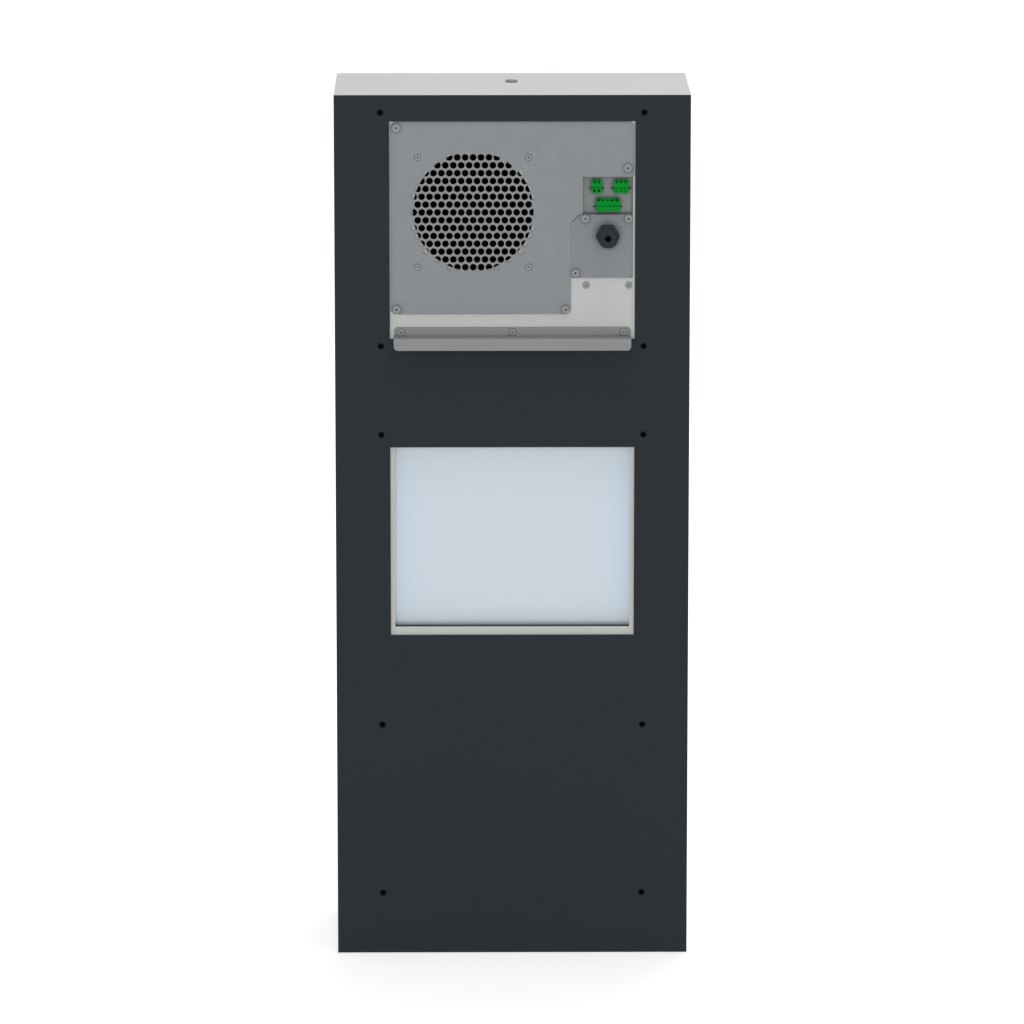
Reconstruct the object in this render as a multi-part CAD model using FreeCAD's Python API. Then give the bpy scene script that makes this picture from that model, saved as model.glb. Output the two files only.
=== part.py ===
import FreeCAD
import Part
import math
import os
from FreeCAD import Vector

# Enclosure air conditioner, built to hang on the outside of a control cabinet.
# +Z is up, -Y is the side that seals against the cabinet, +Y is the room side.
# The origin is on the base, at mid width and mid depth of the casing.

# Casing
case_width = 400.0
case_height = 990.0
case_depth = 209.0
sheet = 1.5
bend_radius = 3.0
cover_depth = 44.0
cover_edge_radius = 12.0
seam_gap = 1.0
lip_reach = 15.0
lip_clearance = 0.25
fit_gap = 0.3
pin_gap = 0.05
cut_past = 1.0
same_place = 1e-6

# Foam gasket with its two windows, measured down from the top of the casing
gasket_thickness = 3.0
cutout_width = 276.0
upper_cutout_drop = 29.3
upper_cutout_height = 247.2
lower_cutout_drop = 400.3
lower_cutout_height = 217.4
gasket_bolt_radius = 3.75

# Threaded bushes for the fixing bolts
bolt_spacing = 296.0
bolt_drops = (19.5, 284.5, 386.0, 722.0)
lowest_bolt_height = 70.5
bush_radius = 4.5
bush_bore_radius = 2.65
bush_length = 15.0
bush_pocket_gap = 1.0

# Opening of the back wall behind the lower window
outlet_side_margin = 5.0
outlet_bottom_margin = 9.5

# Perforated inlet plate, with heights measured up from the upper window's bottom edge
plate_thickness = 1.5
plate_side_margin = 1.3
plate_rise = 28.3
plate_top_margin = 0.9
plate_chamfer = 4.0
plate_gap = 0.6
fan_x = -44.0
fan_rise = 144.1
hole_pitch = 8.89
hole_radius = 3.6
hole_field_radius = 70.0

# Gland plate and connector panel at the right of the inlet plate
gland_plate_left = 66.4
gland_plate_right = 135.2
gland_plate_rise = 69.5
gland_plate_height = 72.0
gland_plate_chamfer = 10.0
relief_size = 2.0
panel_view_left = 79.2
panel_view_rise = 184.2
panel_side_margin = 1.5
panel_top_margin = 3.3
panel_recess = 4.5
panel_edge_gap = 0.2

# Screws: places on the back are (x, rise above the upper window's bottom edge)
screw_head_radius = 4.4
screw_head_height = 2.3
screw_shank_radius = 2.0
screw_length = 9.0
pan_crown_share = 0.72
pan_edge_share = 0.35
small_head_radius = 3.6
small_head_height = 2.2
small_shank_radius = 1.75
wall_screws = ((-130.2, 239.8), (129.9, 194.3), (-130.4, 33.8), (60.2, 33.6))
panel_screws = ((82.1, 137.0), (130.6, 137.0), (71.0, 75.1))
box_screws = ((83.1, 61.2), (131.1, 61.2))
cover_screw_drops = (60.0, 494.0)
lowest_cover_screw_height = 59.0
cover_screw_radius = 3.4
cover_screw_inset = 8.0
cover_screw_tail = 5.0
fan_screw_tail = 3.0

# Hook bracket under the inlet plate
hook_thickness = 2.0
hook_width = 267.0
hook_reach = 19.0
hook_flange = 11.5
hook_lip = 14.0
hook_chamfer = 3.0
hook_bend_radius = 2.5
hook_clearance = 2.0
hook_screw_spacing = 125.6
hook_screw_rise = 3.9

# Cable gland
gland_x = 107.0
gland_rise = 118.3
gland_flats = 22.8
gland_hex_height = 7.0
gland_thread_radius = 8.0
gland_neck_radius = 9.0
gland_neck_bore = 6.5
gland_neck_length = 12.5
gland_reach = 30.0
gland_mouth_radius = 3.9
gland_seal_bore = 3.4
gland_nut_gap = 0.5
gland_squeeze = 1.0
gland_seal_depth = 10.0
gland_nut_hex = 9.0
gland_dome_radius = 11.0
gland_dome_round = 3.0
gland_thread_tail = 3.2
locknut_height = 5.0

# Terminal connectors: two side by side above, one below them
terminal_pitch = 5.08
terminal_side_margin = 0.6
terminal_gap = 4.44
upper_terminal_rise = 170.7
lower_terminal_rise = 150.0
lower_terminal_x = 107.1
plug_below = 4.3
plug_height = 13.8
plug_reach = 12.5
plug_nose_height = 5.0
plug_nose_length = 8.0
header_depth = 12.0
header_wall = 0.6
flange_hole_radius = 1.2
wire_mouth_radius = 1.5
wire_mouth_rise = 3.0
wire_mouth_depth = 5.0
wire_well_depth = 0.5
clamp_slot_size = 2.1
clamp_slot_drop = 0.5
clamp_depth = 5.0
pole_groove = 0.5
pole_groove_drop = 2.2
plug_side_wall = 0.55
plug_band_rise = 5.2
plug_band_height = 2.0
plug_band_depth = 0.6
plug_top_setback = 4.0

# Inner fan behind the perforated plate
fan_size = 140.0
fan_screw_spacing = 124.5
fan_depth = 38.0
fan_flange = 4.0
fan_throat_radius = 68.0
fan_hub_radius = 27.0
fan_tip_gap = 1.8
fan_blades = 7
fan_shaft_radius = 3.0
fan_wall = 1.7
hub_edge_radius = 2.0
hub_face = 3.0
blade_root_angle = 52.0
blade_tip_angle = 32.0
blade_thickness = 1.8
strut_width = 6.0
strut_count = 4
strut_turn = 20.0
strut_root = 0.5
blade_root_share = 0.92
blade_tip_share = 0.8
blade_overrun = 1.0
rotor_gap = 1.0
shaft_tip_gap = 4.4
nozzle_plate_size = 156.0
nozzle_plate_thickness = 1.2
nozzle_spacer = 6.5
nozzle_spacer_radius = 4.0
fan_window_margin = 2.0

# Inner chamber: partition, duct liner and drip tray
inner_depth = 83.5
tray_drop = 3.3
outlet_duct_depth = 14.0
liner_wall = 14.0
liner_side_gap = 7.0
liner_corner = 6.0
liner_bottom_round = 8.0
liner_slope_rise = 8.0
liner_top_edge = 6.0
tray_floor = 3.0
tray_wall = 3.0
tray_rim = 6.0
drain_radius = 6.0
drain_bore = 4.5
drain_x = -132.0
drain_inset = 10.5

# Coils
coil_side_gap = 50.0
coil_end_plate = 1.2
coil_plate_margin = 3.0
coil_flange = 12.0
coil_bend_stub = 4.0
fin_pitch = 5.0
fin_thickness = 0.5
evaporator_height = 90.0
evaporator_drop = 334.0
evaporator_front_gap = 4.0
evaporator_gap = 6.0
evaporator_columns = 3
evaporator_rows = 3
condenser_depth = 34.0
condenser_height = 310.0
condenser_drop = 111.0
condenser_front_gap = 27.0
condenser_rows = 10

# Outer fan and its shroud
shroud_thickness = 1.2
shroud_margin = 8.0
outer_throat_radius = 104.0
outer_tip_radius = 100.0
outer_hub_radius = 36.0
outer_blades = 5
outer_rotor_length = 32.0
outer_bracket = 4.0
outer_ring = 6.0
outer_shaft_radius = 4.0

# Compressor and refrigerant lines
compressor_x = 60.0
compressor_y = 0.0
compressor_radius = 56.0
compressor_headroom = 100.0
compressor_top_round = 30.0
compressor_bottom_round = 16.0
compressor_foot_circle = 74.0
foot_plate = 3.0
foot_height = 14.0
foot_radius = 11.0
foot_turn = 30.0
foot_count = 3
foot_flange_height = 5.0
foot_waist_height = 7.0
foot_waist_radius = 8.2
foot_top_radius = 9.4
accumulator_radius = 24.0
accumulator_drop = 25.0
accumulator_gap = 14.0
accumulator_rise = 36.0
accumulator_elbow = 24.0
accumulator_round = 12.0
accumulator_stub = 2.0
pipe_radius = 4.8
thin_pipe_radius = 3.0
pipe_bend = 12.0
thin_pipe_bend = 9.0
pipe_wall_gap = 22.0
drier_radius = 12.0
drier_length = 100.0
drier_cone = 12.0
drier_rise = 80.0
suction_turn_rise = 60.0
discharge_turn_rise = 90.0
discharge_offset = 9.0
expansion_turn_drop = 30.0
expansion_wall_gap = 10.0

# Lifting point on top
lift_y = 12.0
lift_bush_radius = 6.0
lift_bush_length = 18.0
lift_thread_radius = 3.4
lift_head_radius = 7.0
lift_head_height = 2.4
lift_screw_length = 14.0
lift_head_round = 1.6

# Louvres of the front cover, in an upper and a lower field
louvre_length = 140.0
louvre_height = 12.0
louvre_out = 6.0
louvre_bulge_out = 0.78
louvre_bulge_rise = 0.55
louvre_mouth_drop = 0.5
louvre_pitch = 22.0
louvre_column_spacing = 165.0
louvre_rows = 11
lower_field_height = 96.0
upper_field_drop = 372.0

# Control box
box_sheet = 1.2
box_depth = 58.0
box_side = 5.0
box_top_side = 3.0
box_frame_edge = 4.0
box_tab = 11.0
board_thickness = 1.6
board_margin = 6.0

# Planes and heights that several pieces share
half_width = case_width / 2
back_y = -case_depth / 2
front_y = case_depth / 2
inside_y = back_y + sheet
seam_y = front_y - cover_depth
gasket_face_y = back_y - gasket_thickness
plate_face_y = back_y - plate_thickness
upper_cutout_top = case_height - upper_cutout_drop
upper_cutout_bottom = upper_cutout_top - upper_cutout_height
lower_cutout_top = case_height - lower_cutout_drop
lower_cutout_bottom = lower_cutout_top - lower_cutout_height
outlet_half_width = cutout_width / 2 - outlet_side_margin
outlet_bottom = lower_cutout_bottom + outlet_bottom_margin
outlet_top = lower_cutout_top
fan_z = upper_cutout_bottom + fan_rise
gland_z = upper_cutout_bottom + gland_rise
gland_plate_bottom = upper_cutout_bottom + gland_plate_rise
gland_plate_top = gland_plate_bottom + gland_plate_height
panel_view_top = upper_cutout_bottom + panel_view_rise
panel_left = gland_plate_left + panel_side_margin
panel_bottom = gland_plate_bottom + plate_thickness + fit_gap
panel_top = panel_view_top + panel_top_margin
connector_y = back_y + panel_recess
partition_y = inside_y + inner_depth
tray_top_face = outlet_bottom - tray_drop
tray_bottom = tray_top_face - tray_floor
shelf_z = tray_bottom - sheet
drain_y = inside_y + drain_inset
liner_face_y = inside_y + outlet_duct_depth
liner_half_width = outlet_half_width + liner_side_gap
evaporator_bottom = case_height - evaporator_drop
evaporator_depth = inner_depth + sheet - bush_length - evaporator_front_gap
liner_top = evaporator_bottom - evaporator_gap
coil_half_width = half_width - coil_side_gap
condenser_top = case_height - condenser_drop
condenser_bottom = condenser_top - condenser_height
condenser_front = front_y - condenser_front_gap
condenser_back = condenser_front - condenser_depth
shroud_y = condenser_back - shroud_thickness
outer_fan_z = (condenser_top + condenser_bottom) / 2
pipe_x = half_width - pipe_wall_gap
compressor_bottom = sheet + foot_height + foot_plate
compressor_top = shelf_z - compressor_headroom
bolt_heights = [case_height - drop for drop in bolt_drops] + [lowest_bolt_height]


def flange_half_width(poles):
    """Half the length of a terminal's screw flange."""
    return (poles + 2) * terminal_pitch / 2


# Terminals as (poles, x, rise of the flange holes): the upper row ends at the panel's right edge
right_terminal_x = gland_plate_right - terminal_side_margin - flange_half_width(3)
left_terminal_x = right_terminal_x - flange_half_width(3) - terminal_gap - flange_half_width(2)
terminals = (
    (2, left_terminal_x, upper_terminal_rise),
    (3, right_terminal_x, upper_terminal_rise),
    (5, lower_terminal_x, lower_terminal_rise),
)


def box(x0, x1, y0, y1, z0, z1):
    """A block between two corners."""
    return Part.makeBox(x1 - x0, y1 - y0, z1 - z0, Vector(x0, y0, z0))


def rod_x(y, z, radius, x0, x1):
    """A round bar along X."""
    return Part.makeCylinder(radius, x1 - x0, Vector(x0, y, z), Vector(1, 0, 0))


def rod_y(x, z, radius, y0, y1):
    """A round bar along Y."""
    return Part.makeCylinder(radius, y1 - y0, Vector(x, y0, z), Vector(0, 1, 0))


def rod_z(x, y, radius, z0, z1):
    """A round bar along Z."""
    return Part.makeCylinder(radius, z1 - z0, Vector(x, y, z0))


def hex_y(x, z, flats, y0, y1):
    """A hexagonal bar along Y, with flats at its top and bottom."""
    corner = flats / math.sqrt(3)
    turns = [math.radians(60 * step) for step in range(7)]
    points = [Vector(x + corner * math.cos(a), y0, z + corner * math.sin(a)) for a in turns]
    return Part.Face(Part.makePolygon(points)).extrude(Vector(0, y1 - y0, 0))


def panel(outline, y0, y1):
    """A flat panel from an outline of (x, z) points."""
    points = [Vector(x, y0, z) for x, z in outline]
    return Part.Face(Part.makePolygon(points + points[:1])).extrude(Vector(0, y1 - y0, 0))


def profile_bar(profile, x0, x1):
    """A piece of one (y, z) profile along X."""
    points = [Vector(x0, y, z) for y, z in profile]
    return Part.Face(Part.makePolygon(points + points[:1])).extrude(Vector(x1 - x0, 0, 0))


def turned_y(profile, x, z):
    """A turned piece about an axis along Y, from (radius, y) points."""
    points = [Vector(x + radius, y, z) for radius, y in profile]
    face = Part.Face(Part.makePolygon(points + points[:1]))
    return face.revolve(Vector(x, 0, z), Vector(0, 1, 0), 360)


def turned_z(profile, x, y):
    """A turned piece about a vertical axis, from (radius, z) points."""
    points = [Vector(x + radius, y, z) for radius, z in profile]
    face = Part.Face(Part.makePolygon(points + points[:1]))
    return face.revolve(Vector(x, y, 0), Vector(0, 0, 1), 360)


def edges_on_y(solid, y):
    """The edges of a solid that lie in a plane across Y."""
    return [e for e in solid.Edges if all(abs(v.Point.y - y) < same_place for v in e.Vertexes)]


def edges_on_z(solid, z):
    """The edges of a solid that lie in a level plane."""
    return [e for e in solid.Edges if all(abs(v.Point.z - z) < same_place for v in e.Vertexes)]


def rim(inset_out, inset_in, y0, y1):
    """A rectangular rim round the casing, between two insets from its outside."""
    outer = box(inset_out - half_width, half_width - inset_out, y0, y1, inset_out, case_height - inset_out)
    inner = box(inset_in - half_width, half_width - inset_in, y0, y1, inset_in, case_height - inset_in)
    return outer.cut(inner)


def pipe(points, radius, bend):
    """A round pipe through points, with one bend radius."""
    corners = [Vector(*point) for point in points]
    edges = []
    start = corners[0]
    for before, corner, after in zip(corners, corners[1:], corners[2:]):
        back = (before - corner).normalize()
        ahead = (after - corner).normalize()
        half_angle = back.getAngle(ahead) / 2
        run = bend / math.tan(half_angle)
        entry = corner + back * run
        leave = corner + ahead * run
        middle_way = (back + ahead).normalize()
        middle = corner + middle_way * (bend / math.sin(half_angle) - bend)
        edges.append(Part.LineSegment(start, entry).toShape())
        edges.append(Part.Arc(entry, middle, leave).toShape())
        start = leave
    edges.append(Part.LineSegment(start, corners[-1]).toShape())
    way = (corners[1] - corners[0]).normalize()
    ring = Part.Wire(Part.makeCircle(radius, corners[0], way))
    return Part.Wire(edges).makePipeShell([ring], True, False)


def screw_y(x, z, face_y, head_radius, head_height, shank_radius, length):
    """A pan-head screw whose head sits on a face that looks to -Y."""
    crown = pan_crown_share * head_radius
    edge = pan_edge_share * head_height
    profile = ((0, face_y - head_height), (crown, face_y - head_height), (head_radius, face_y - edge),
               (head_radius, face_y), (shank_radius, face_y), (shank_radius, face_y + length),
               (0, face_y + length))
    return turned_y(profile, x, z)


def screw_group(places, face_y, head_radius, head_height, shank_radius, length):
    """Separate pan-head screws at places (x, rise)."""
    screws = [screw_y(x, upper_cutout_bottom + rise, face_y, head_radius, head_height, shank_radius, length)
              for x, rise in places]
    return Part.makeCompound(screws)


def screw_holes(places, radius, y0, y1):
    """Round holes for screws at places (x, rise)."""
    holes = [rod_y(x, upper_cutout_bottom + rise, radius, y0, y1) for x, rise in places]
    return Part.makeCompound(holes)


def bolt_places():
    """Centres of the fixing bolts on the back, as (x, z)."""
    return [(side * bolt_spacing / 2, z) for z in bolt_heights for side in (-1, 1)]


def fan_screw_places(size):
    """Corner screws of the inner fan, as (x, z)."""
    return [(fan_x + sx * size / 2, fan_z + sz * size / 2) for sx in (-1, 1) for sz in (-1, 1)]


def hook_screw_places():
    """The three screws of the hook bracket, as (x, rise)."""
    rise = hook_clearance + hook_thickness + hook_screw_rise
    return [(step * hook_screw_spacing, rise) for step in (-1, 0, 1)]


def cover_screw_places():
    """Side screws of the front cover, as (side, z)."""
    heights = [case_height - drop for drop in cover_screw_drops] + [lowest_cover_screw_height]
    return [(side, z) for z in heights for side in (-1, 1)]


def chassis_tray():
    """Folded back half of the casing, with a joggled lip that the front cover slides over."""
    outer = box(-half_width, half_width, back_y, seam_y, 0, case_height)
    outer = outer.makeFillet(bend_radius, edges_on_y(outer, back_y))
    side = half_width - sheet
    inner = box(-side, side, inside_y, seam_y + cut_past, sheet, case_height - sheet)
    inner = inner.makeFillet(bend_radius - sheet, edges_on_y(inner, inside_y))
    lip_outside = sheet + lip_clearance
    joggle = rim(0, lip_outside + sheet, seam_y - sheet, seam_y)
    lip = rim(lip_outside, lip_outside + sheet, seam_y - sheet, seam_y + seam_gap + lip_reach)
    tray = outer.cut(inner).fuse([joggle, lip])
    window = nozzle_plate_size / 2 + fan_window_margin
    through = (back_y - cut_past, inside_y + cut_past)
    cuts = [
        box(fan_x - window, fan_x + window, *through, fan_z - window, fan_z + window),
        box(panel_left - fit_gap, gland_plate_right + panel_edge_gap, *through, gland_plate_bottom - fit_gap,
            panel_top + fit_gap),
        box(-outlet_half_width, outlet_half_width, *through, outlet_bottom, outlet_top),
        screw_holes(wall_screws, screw_shank_radius + pin_gap, *through),
        screw_holes(box_screws, small_shank_radius + pin_gap, *through),
        screw_holes(hook_screw_places(), small_shank_radius + pin_gap, *through),
        rod_z(0, lift_y, lift_bush_radius + pin_gap, case_height - sheet - cut_past, case_height + cut_past),
        rod_z(drain_x, drain_y, drain_radius + fit_gap, -cut_past, sheet + cut_past),
    ]
    cuts += [rod_y(x, z, bush_radius + pin_gap, *through) for x, z in bolt_places()]
    cuts += [cover_screw(hand, z, pin_gap) for hand, z in cover_screw_places()]
    return tray.cut(cuts).removeSplitter()


def mounting_gasket():
    """Closed-cell foam sheet over the whole back, with two windows and clear bolt holes."""
    gasket = box(-half_width, half_width, gasket_face_y, back_y, 0, case_height)
    half = cutout_width / 2
    span = (gasket_face_y - cut_past, back_y + cut_past)
    cuts = [
        box(-half, half, *span, upper_cutout_bottom, upper_cutout_top),
        box(-half, half, *span, lower_cutout_bottom, lower_cutout_top),
    ]
    cuts += [rod_y(x, z, gasket_bolt_radius, *span) for x, z in bolt_places()]
    return gasket.cut(cuts)


def louvre(x, z):
    """One pressed louvre of the cover: the hood's solid and the space to cut from it."""
    def blister(top, out, inward, drop, length):
        foot = Vector(x - length / 2, front_y + inward, z - drop)
        toe = Vector(x - length / 2, front_y + out, z - drop)
        crown = Vector(x - length / 2, front_y + inward, z + top)
        bulge = Vector(x - length / 2, front_y + louvre_bulge_out * out, z + louvre_bulge_rise * top)
        edges = [
            Part.LineSegment(foot, toe).toShape(),
            Part.Arc(toe, bulge, crown).toShape(),
            Part.LineSegment(crown, foot).toShape(),
        ]
        return Part.Face(Part.Wire(edges)).extrude(Vector(length, 0, 0))

    hood = blister(louvre_height, louvre_out, 0, 0, louvre_length)
    space = blister(louvre_height - sheet, louvre_out - sheet, -sheet - cut_past, louvre_mouth_drop,
                    louvre_length - 2 * sheet)
    return hood, space


def front_cover():
    """Deep-edged room-side cover with two fields of pressed louvres."""
    start = seam_y + seam_gap
    outer = box(-half_width, half_width, start, front_y, 0, case_height)
    outer = outer.makeFillet(cover_edge_radius, edges_on_y(outer, front_y))
    side = half_width - sheet
    inner = box(-side, side, start - cut_past, front_y - sheet, sheet, case_height - sheet)
    inner = inner.makeFillet(cover_edge_radius - sheet, edges_on_y(inner, front_y - sheet))
    field_starts = (lower_field_height, case_height - upper_field_drop)
    places = [(side * louvre_column_spacing / 2, start_z + row * louvre_pitch)
              for start_z in field_starts for row in range(louvre_rows) for side in (-1, 1)]
    pairs = [louvre(x, z) for x, z in places]
    shell = outer.cut(inner).fuse([hood for hood, space in pairs])
    shell = shell.cut(Part.makeCompound([space for hood, space in pairs]))
    screws = [cover_screw(side, z, pin_gap) for side, z in cover_screw_places()]
    return shell.cut(screws).removeSplitter()


def cover_screw(side, z, grow=0.0):
    """Flush countersunk screw in a side of the cover; grow makes it the hole's size."""
    y = seam_y + seam_gap + cover_screw_inset
    outside = half_width
    shank = small_shank_radius + grow
    head = cover_screw_radius + grow
    depth = cover_screw_radius - small_shank_radius
    length = sheet * 2 + lip_clearance + cover_screw_tail
    cone = Part.makeCone(head, shank, depth, Vector(side * outside, y, z), Vector(-side, 0, 0))
    stem = Part.makeCylinder(shank, length, Vector(side * outside, y, z), Vector(-side, 0, 0))
    return cone.fuse(stem)


def inlet_plate():
    """Perforated plate over the inner fan, notched for the terminals."""
    left = plate_side_margin - cutout_width / 2
    right = cutout_width / 2 - plate_side_margin
    bottom = upper_cutout_bottom + plate_rise
    top = upper_cutout_top - plate_top_margin
    inner_right = gland_plate_left - plate_gap
    step_z = gland_plate_top + plate_gap
    c = plate_chamfer
    notch = gland_plate_chamfer
    outline = (
        (left, bottom + c), (left, top - c), (left + c, top), (right - c, top), (right, top - c),
        (right, panel_view_top + c / 2), (right - c / 2, panel_view_top),
        (panel_view_left, panel_view_top), (panel_view_left, step_z),
        (inner_right + notch, step_z), (inner_right, step_z - notch),
        (inner_right, bottom + c), (inner_right - c, bottom), (left + c, bottom),
    )
    plate = panel(outline, plate_face_y, back_y)
    span = (plate_face_y - cut_past, back_y + cut_past)
    cuts = [rod_y(x, z, hole_radius, *span) for x, z in perforation()]
    cuts += [fan_screw(x, z, pin_gap) for x, z in fan_screw_places(fan_screw_spacing)]
    cuts.append(screw_holes(wall_screws, screw_shank_radius + fit_gap, *span))
    return plate.cut(Part.makeCompound(cuts))


def perforation():
    """Staggered hole centres of the inlet plate inside a round field, as (x, z)."""
    rows = int(hole_field_radius / hole_pitch)
    places = []
    for row in range(-rows, rows + 1):
        shift = 0.0 if row % 2 else 0.5
        for column in range(-rows - 1, rows + 2):
            x = (column + shift) * hole_pitch
            z = row * hole_pitch
            if math.hypot(x, z) <= hole_field_radius:
                places.append((fan_x + x, fan_z + z))
    return places


def fan_screw(x, z, grow=0.0):
    """Countersunk screw through the inlet plate, spacer, nozzle plate and fan flange."""
    shank = screw_shank_radius + grow
    head = screw_head_radius + grow
    length = plate_thickness + nozzle_spacer + nozzle_plate_thickness + fan_flange + fan_screw_tail
    cone = Part.makeCone(head, shank, plate_thickness, Vector(x, plate_face_y, z), Vector(0, 1, 0))
    return cone.fuse(rod_y(x, z, shank, plate_face_y, plate_face_y + length))


def gland_plate():
    """Plate that carries the cable gland, with a flange folded in along its lower edge."""
    left, right = gland_plate_left, gland_plate_right
    bottom, top = gland_plate_bottom, gland_plate_top
    cut_corner = gland_plate_chamfer
    outline = (
        (left, bottom), (left, top - cut_corner), (left + cut_corner, top), (right, top), (right, bottom),
    )
    plate = panel(outline, plate_face_y, back_y)
    flange_left = panel_left + relief_size
    flange_right = right - relief_size
    flange = box(flange_left, flange_right, plate_face_y, inside_y, bottom, bottom + plate_thickness)
    span = (plate_face_y - cut_past, back_y + cut_past)
    cuts = [
        box(flange_left - relief_size, flange_left, *span, bottom - cut_past, bottom + relief_size),
        box(flange_right, right + cut_past, *span, bottom - cut_past, bottom + relief_size),
        rod_y(gland_x, gland_z, gland_thread_radius + fit_gap, *span),
        screw_holes(panel_screws, screw_shank_radius + fit_gap, *span),
    ]
    return plate.fuse(flange).cut(cuts).removeSplitter()


def connector_panel():
    """Joggled sheet in the terminal opening: flush behind the gland plate, set back at the headers."""
    step_top = gland_plate_top + plate_gap
    profile = (
        (back_y, panel_bottom), (back_y, step_top), (connector_y, step_top), (connector_y, panel_top),
        (connector_y + sheet, panel_top), (connector_y + sheet, step_top - sheet),
        (inside_y, step_top - sheet), (inside_y, panel_bottom),
    )
    folded = profile_bar(profile, panel_left, gland_plate_right)
    span = (back_y - cut_past, connector_y + sheet + cut_past)
    cuts = [
        rod_y(gland_x, gland_z, gland_thread_radius + fit_gap, *span),
        screw_holes(panel_screws, screw_shank_radius + pin_gap, *span),
    ]
    for poles, x, rise in terminals:
        z = upper_cutout_bottom + rise
        half = header_half_width(poles) + fit_gap / 2
        tall = header_half_height() + fit_gap / 2
        cuts.append(box(x - half, x + half, *span, z - tall, z + tall))
        offset = (poles + 1) * terminal_pitch / 2
        cuts += [rod_y(x + side * offset, z, flange_hole_radius, *span) for side in (-1, 1)]
    return folded.cut(cuts)


def header_half_width(poles):
    """Half the outside width of a pin header."""
    return poles * terminal_pitch / 2 + header_wall


def header_half_height():
    """Half the outside height of a pin header."""
    return plug_nose_height / 2 + fit_gap / 2 + header_wall


def terminal_header(poles, x, z):
    """Pin header behind the connector panel, open to the cabinet side, with its screw flange."""
    half = header_half_width(poles)
    tall = header_half_height()
    rear = connector_y + header_depth
    flange_y = connector_y + sheet
    body = box(x - half, x + half, connector_y, rear, z - tall, z + tall)
    end = flange_half_width(poles)
    flange = box(x - end, x + end, flange_y, flange_y + header_wall, z - tall, z + tall)
    socket = box(x - half + header_wall, x + half - header_wall, connector_y - cut_past, rear - header_wall,
                 z - tall + header_wall, z + tall - header_wall)
    offset = (poles + 1) * terminal_pitch / 2
    span = (flange_y - cut_past, flange_y + header_wall + cut_past)
    holes = [rod_y(x + side * offset, z, flange_hole_radius, *span) for side in (-1, 1)]
    return body.fuse(flange).cut([socket] + holes)


def terminal_plug(poles, x, z):
    """Pull-off plug: a housing with a grip band, clamp slots above it and wire mouths below it."""
    half = poles * terminal_pitch / 2 + plug_side_wall
    bottom = z - plug_below
    top = bottom + plug_height
    near = connector_y - fit_gap
    front = connector_y - plug_reach
    band_low = bottom + plug_band_rise
    band_high = band_low + plug_band_height
    deep = plug_band_depth
    # The face has a shallow band at mid height and leans back above it.
    profile = (
        (near, bottom), (front, bottom), (front, band_low), (front + deep, band_low + deep),
        (front + deep, band_high - deep), (front, band_high), (front + plug_top_setback, top), (near, top),
    )
    body = profile_bar(profile, x - half, x + half)
    nose_half = poles * terminal_pitch / 2 - fit_gap / 2
    nose = box(x - nose_half, x + nose_half, near, near + plug_nose_length, z - plug_nose_height / 2,
               z + plug_nose_height / 2)
    slot_top = top - clamp_slot_drop
    lean = front + plug_top_setback
    span = (front - cut_past, lean + clamp_depth)
    cuts = []
    for pole in range(poles):
        pole_x = x + (pole - (poles - 1) / 2) * terminal_pitch
        cuts.append(wire_entry(poles, pole_x, bottom, front))
        cuts.append(box(pole_x - clamp_slot_size / 2, pole_x + clamp_slot_size / 2, *span,
                        slot_top - clamp_slot_size, slot_top))
    for gap in range(1, poles):
        gap_x = x + (gap - poles / 2) * terminal_pitch
        cuts.append(box(gap_x - pole_groove / 2, gap_x + pole_groove / 2, front - cut_past,
                        lean + pole_groove, top - pole_groove_drop, top + cut_past))
    return body.fuse(nose).cut(cuts).removeSplitter()


def wire_entry(poles, x, bottom, front):
    """Wire mouth of a pole: open in front, marked by a shallow well, or in the plug's underside."""
    z = bottom + wire_mouth_rise
    if poles == 2:
        return rod_y(x, z, wire_mouth_radius, front - cut_past, front + wire_mouth_depth)
    if poles == 3:
        return rod_y(x, z, wire_mouth_radius, front - cut_past, front + wire_well_depth)
    return rod_z(x, front + wire_mouth_rise, wire_mouth_radius, bottom - cut_past, bottom + wire_mouth_depth)


def hook_bracket():
    """Folded hook that hangs the unit on the lower edge of the cabinet's cut-out."""
    t = hook_thickness
    low = upper_cutout_bottom + hook_clearance
    out = gasket_face_y - hook_reach
    half = hook_width / 2
    lip_bottom = low + t - hook_lip
    flange_top = low + hook_flange
    profile = (
        (back_y, low), (back_y, flange_top), (back_y - t, flange_top), (back_y - t, low + t),
        (out, low + t), (out, lip_bottom), (out + t, lip_bottom), (out + t, low),
    )
    hook = profile_bar(profile, -half, half)
    outer_bends = [e for e in hook.Edges if on_line(e, out, low + t) or on_line(e, back_y, low)]
    hook = hook.makeFillet(hook_bend_radius, outer_bends)
    inner_bends = [e for e in hook.Edges if on_line(e, out + t, low) or on_line(e, back_y - t, low + t)]
    hook = hook.makeFillet(hook_bend_radius - t, inner_bends)
    ends = (lip_bottom, flange_top)
    corners = [e for e in hook.Edges if abs(e.Length - t) < same_place and is_free_corner(e, half, ends)]
    hook = hook.makeChamfer(hook_chamfer, corners)
    hole = small_shank_radius + fit_gap
    return hook.cut(screw_holes(hook_screw_places(), hole, back_y - t - cut_past, back_y + cut_past))


def on_line(edge, y, z):
    """True for an edge along X that lies at (y, z)."""
    return all(abs(v.Point.y - y) < same_place and abs(v.Point.z - z) < same_place for v in edge.Vertexes)


def is_free_corner(edge, half, heights):
    """True for a short corner edge across the sheet at the hook's free ends."""
    at_end = all(abs(abs(v.Point.x) - half) < same_place for v in edge.Vertexes)
    return at_end and any(all(abs(v.Point.z - z) < same_place for v in edge.Vertexes) for z in heights)


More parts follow.
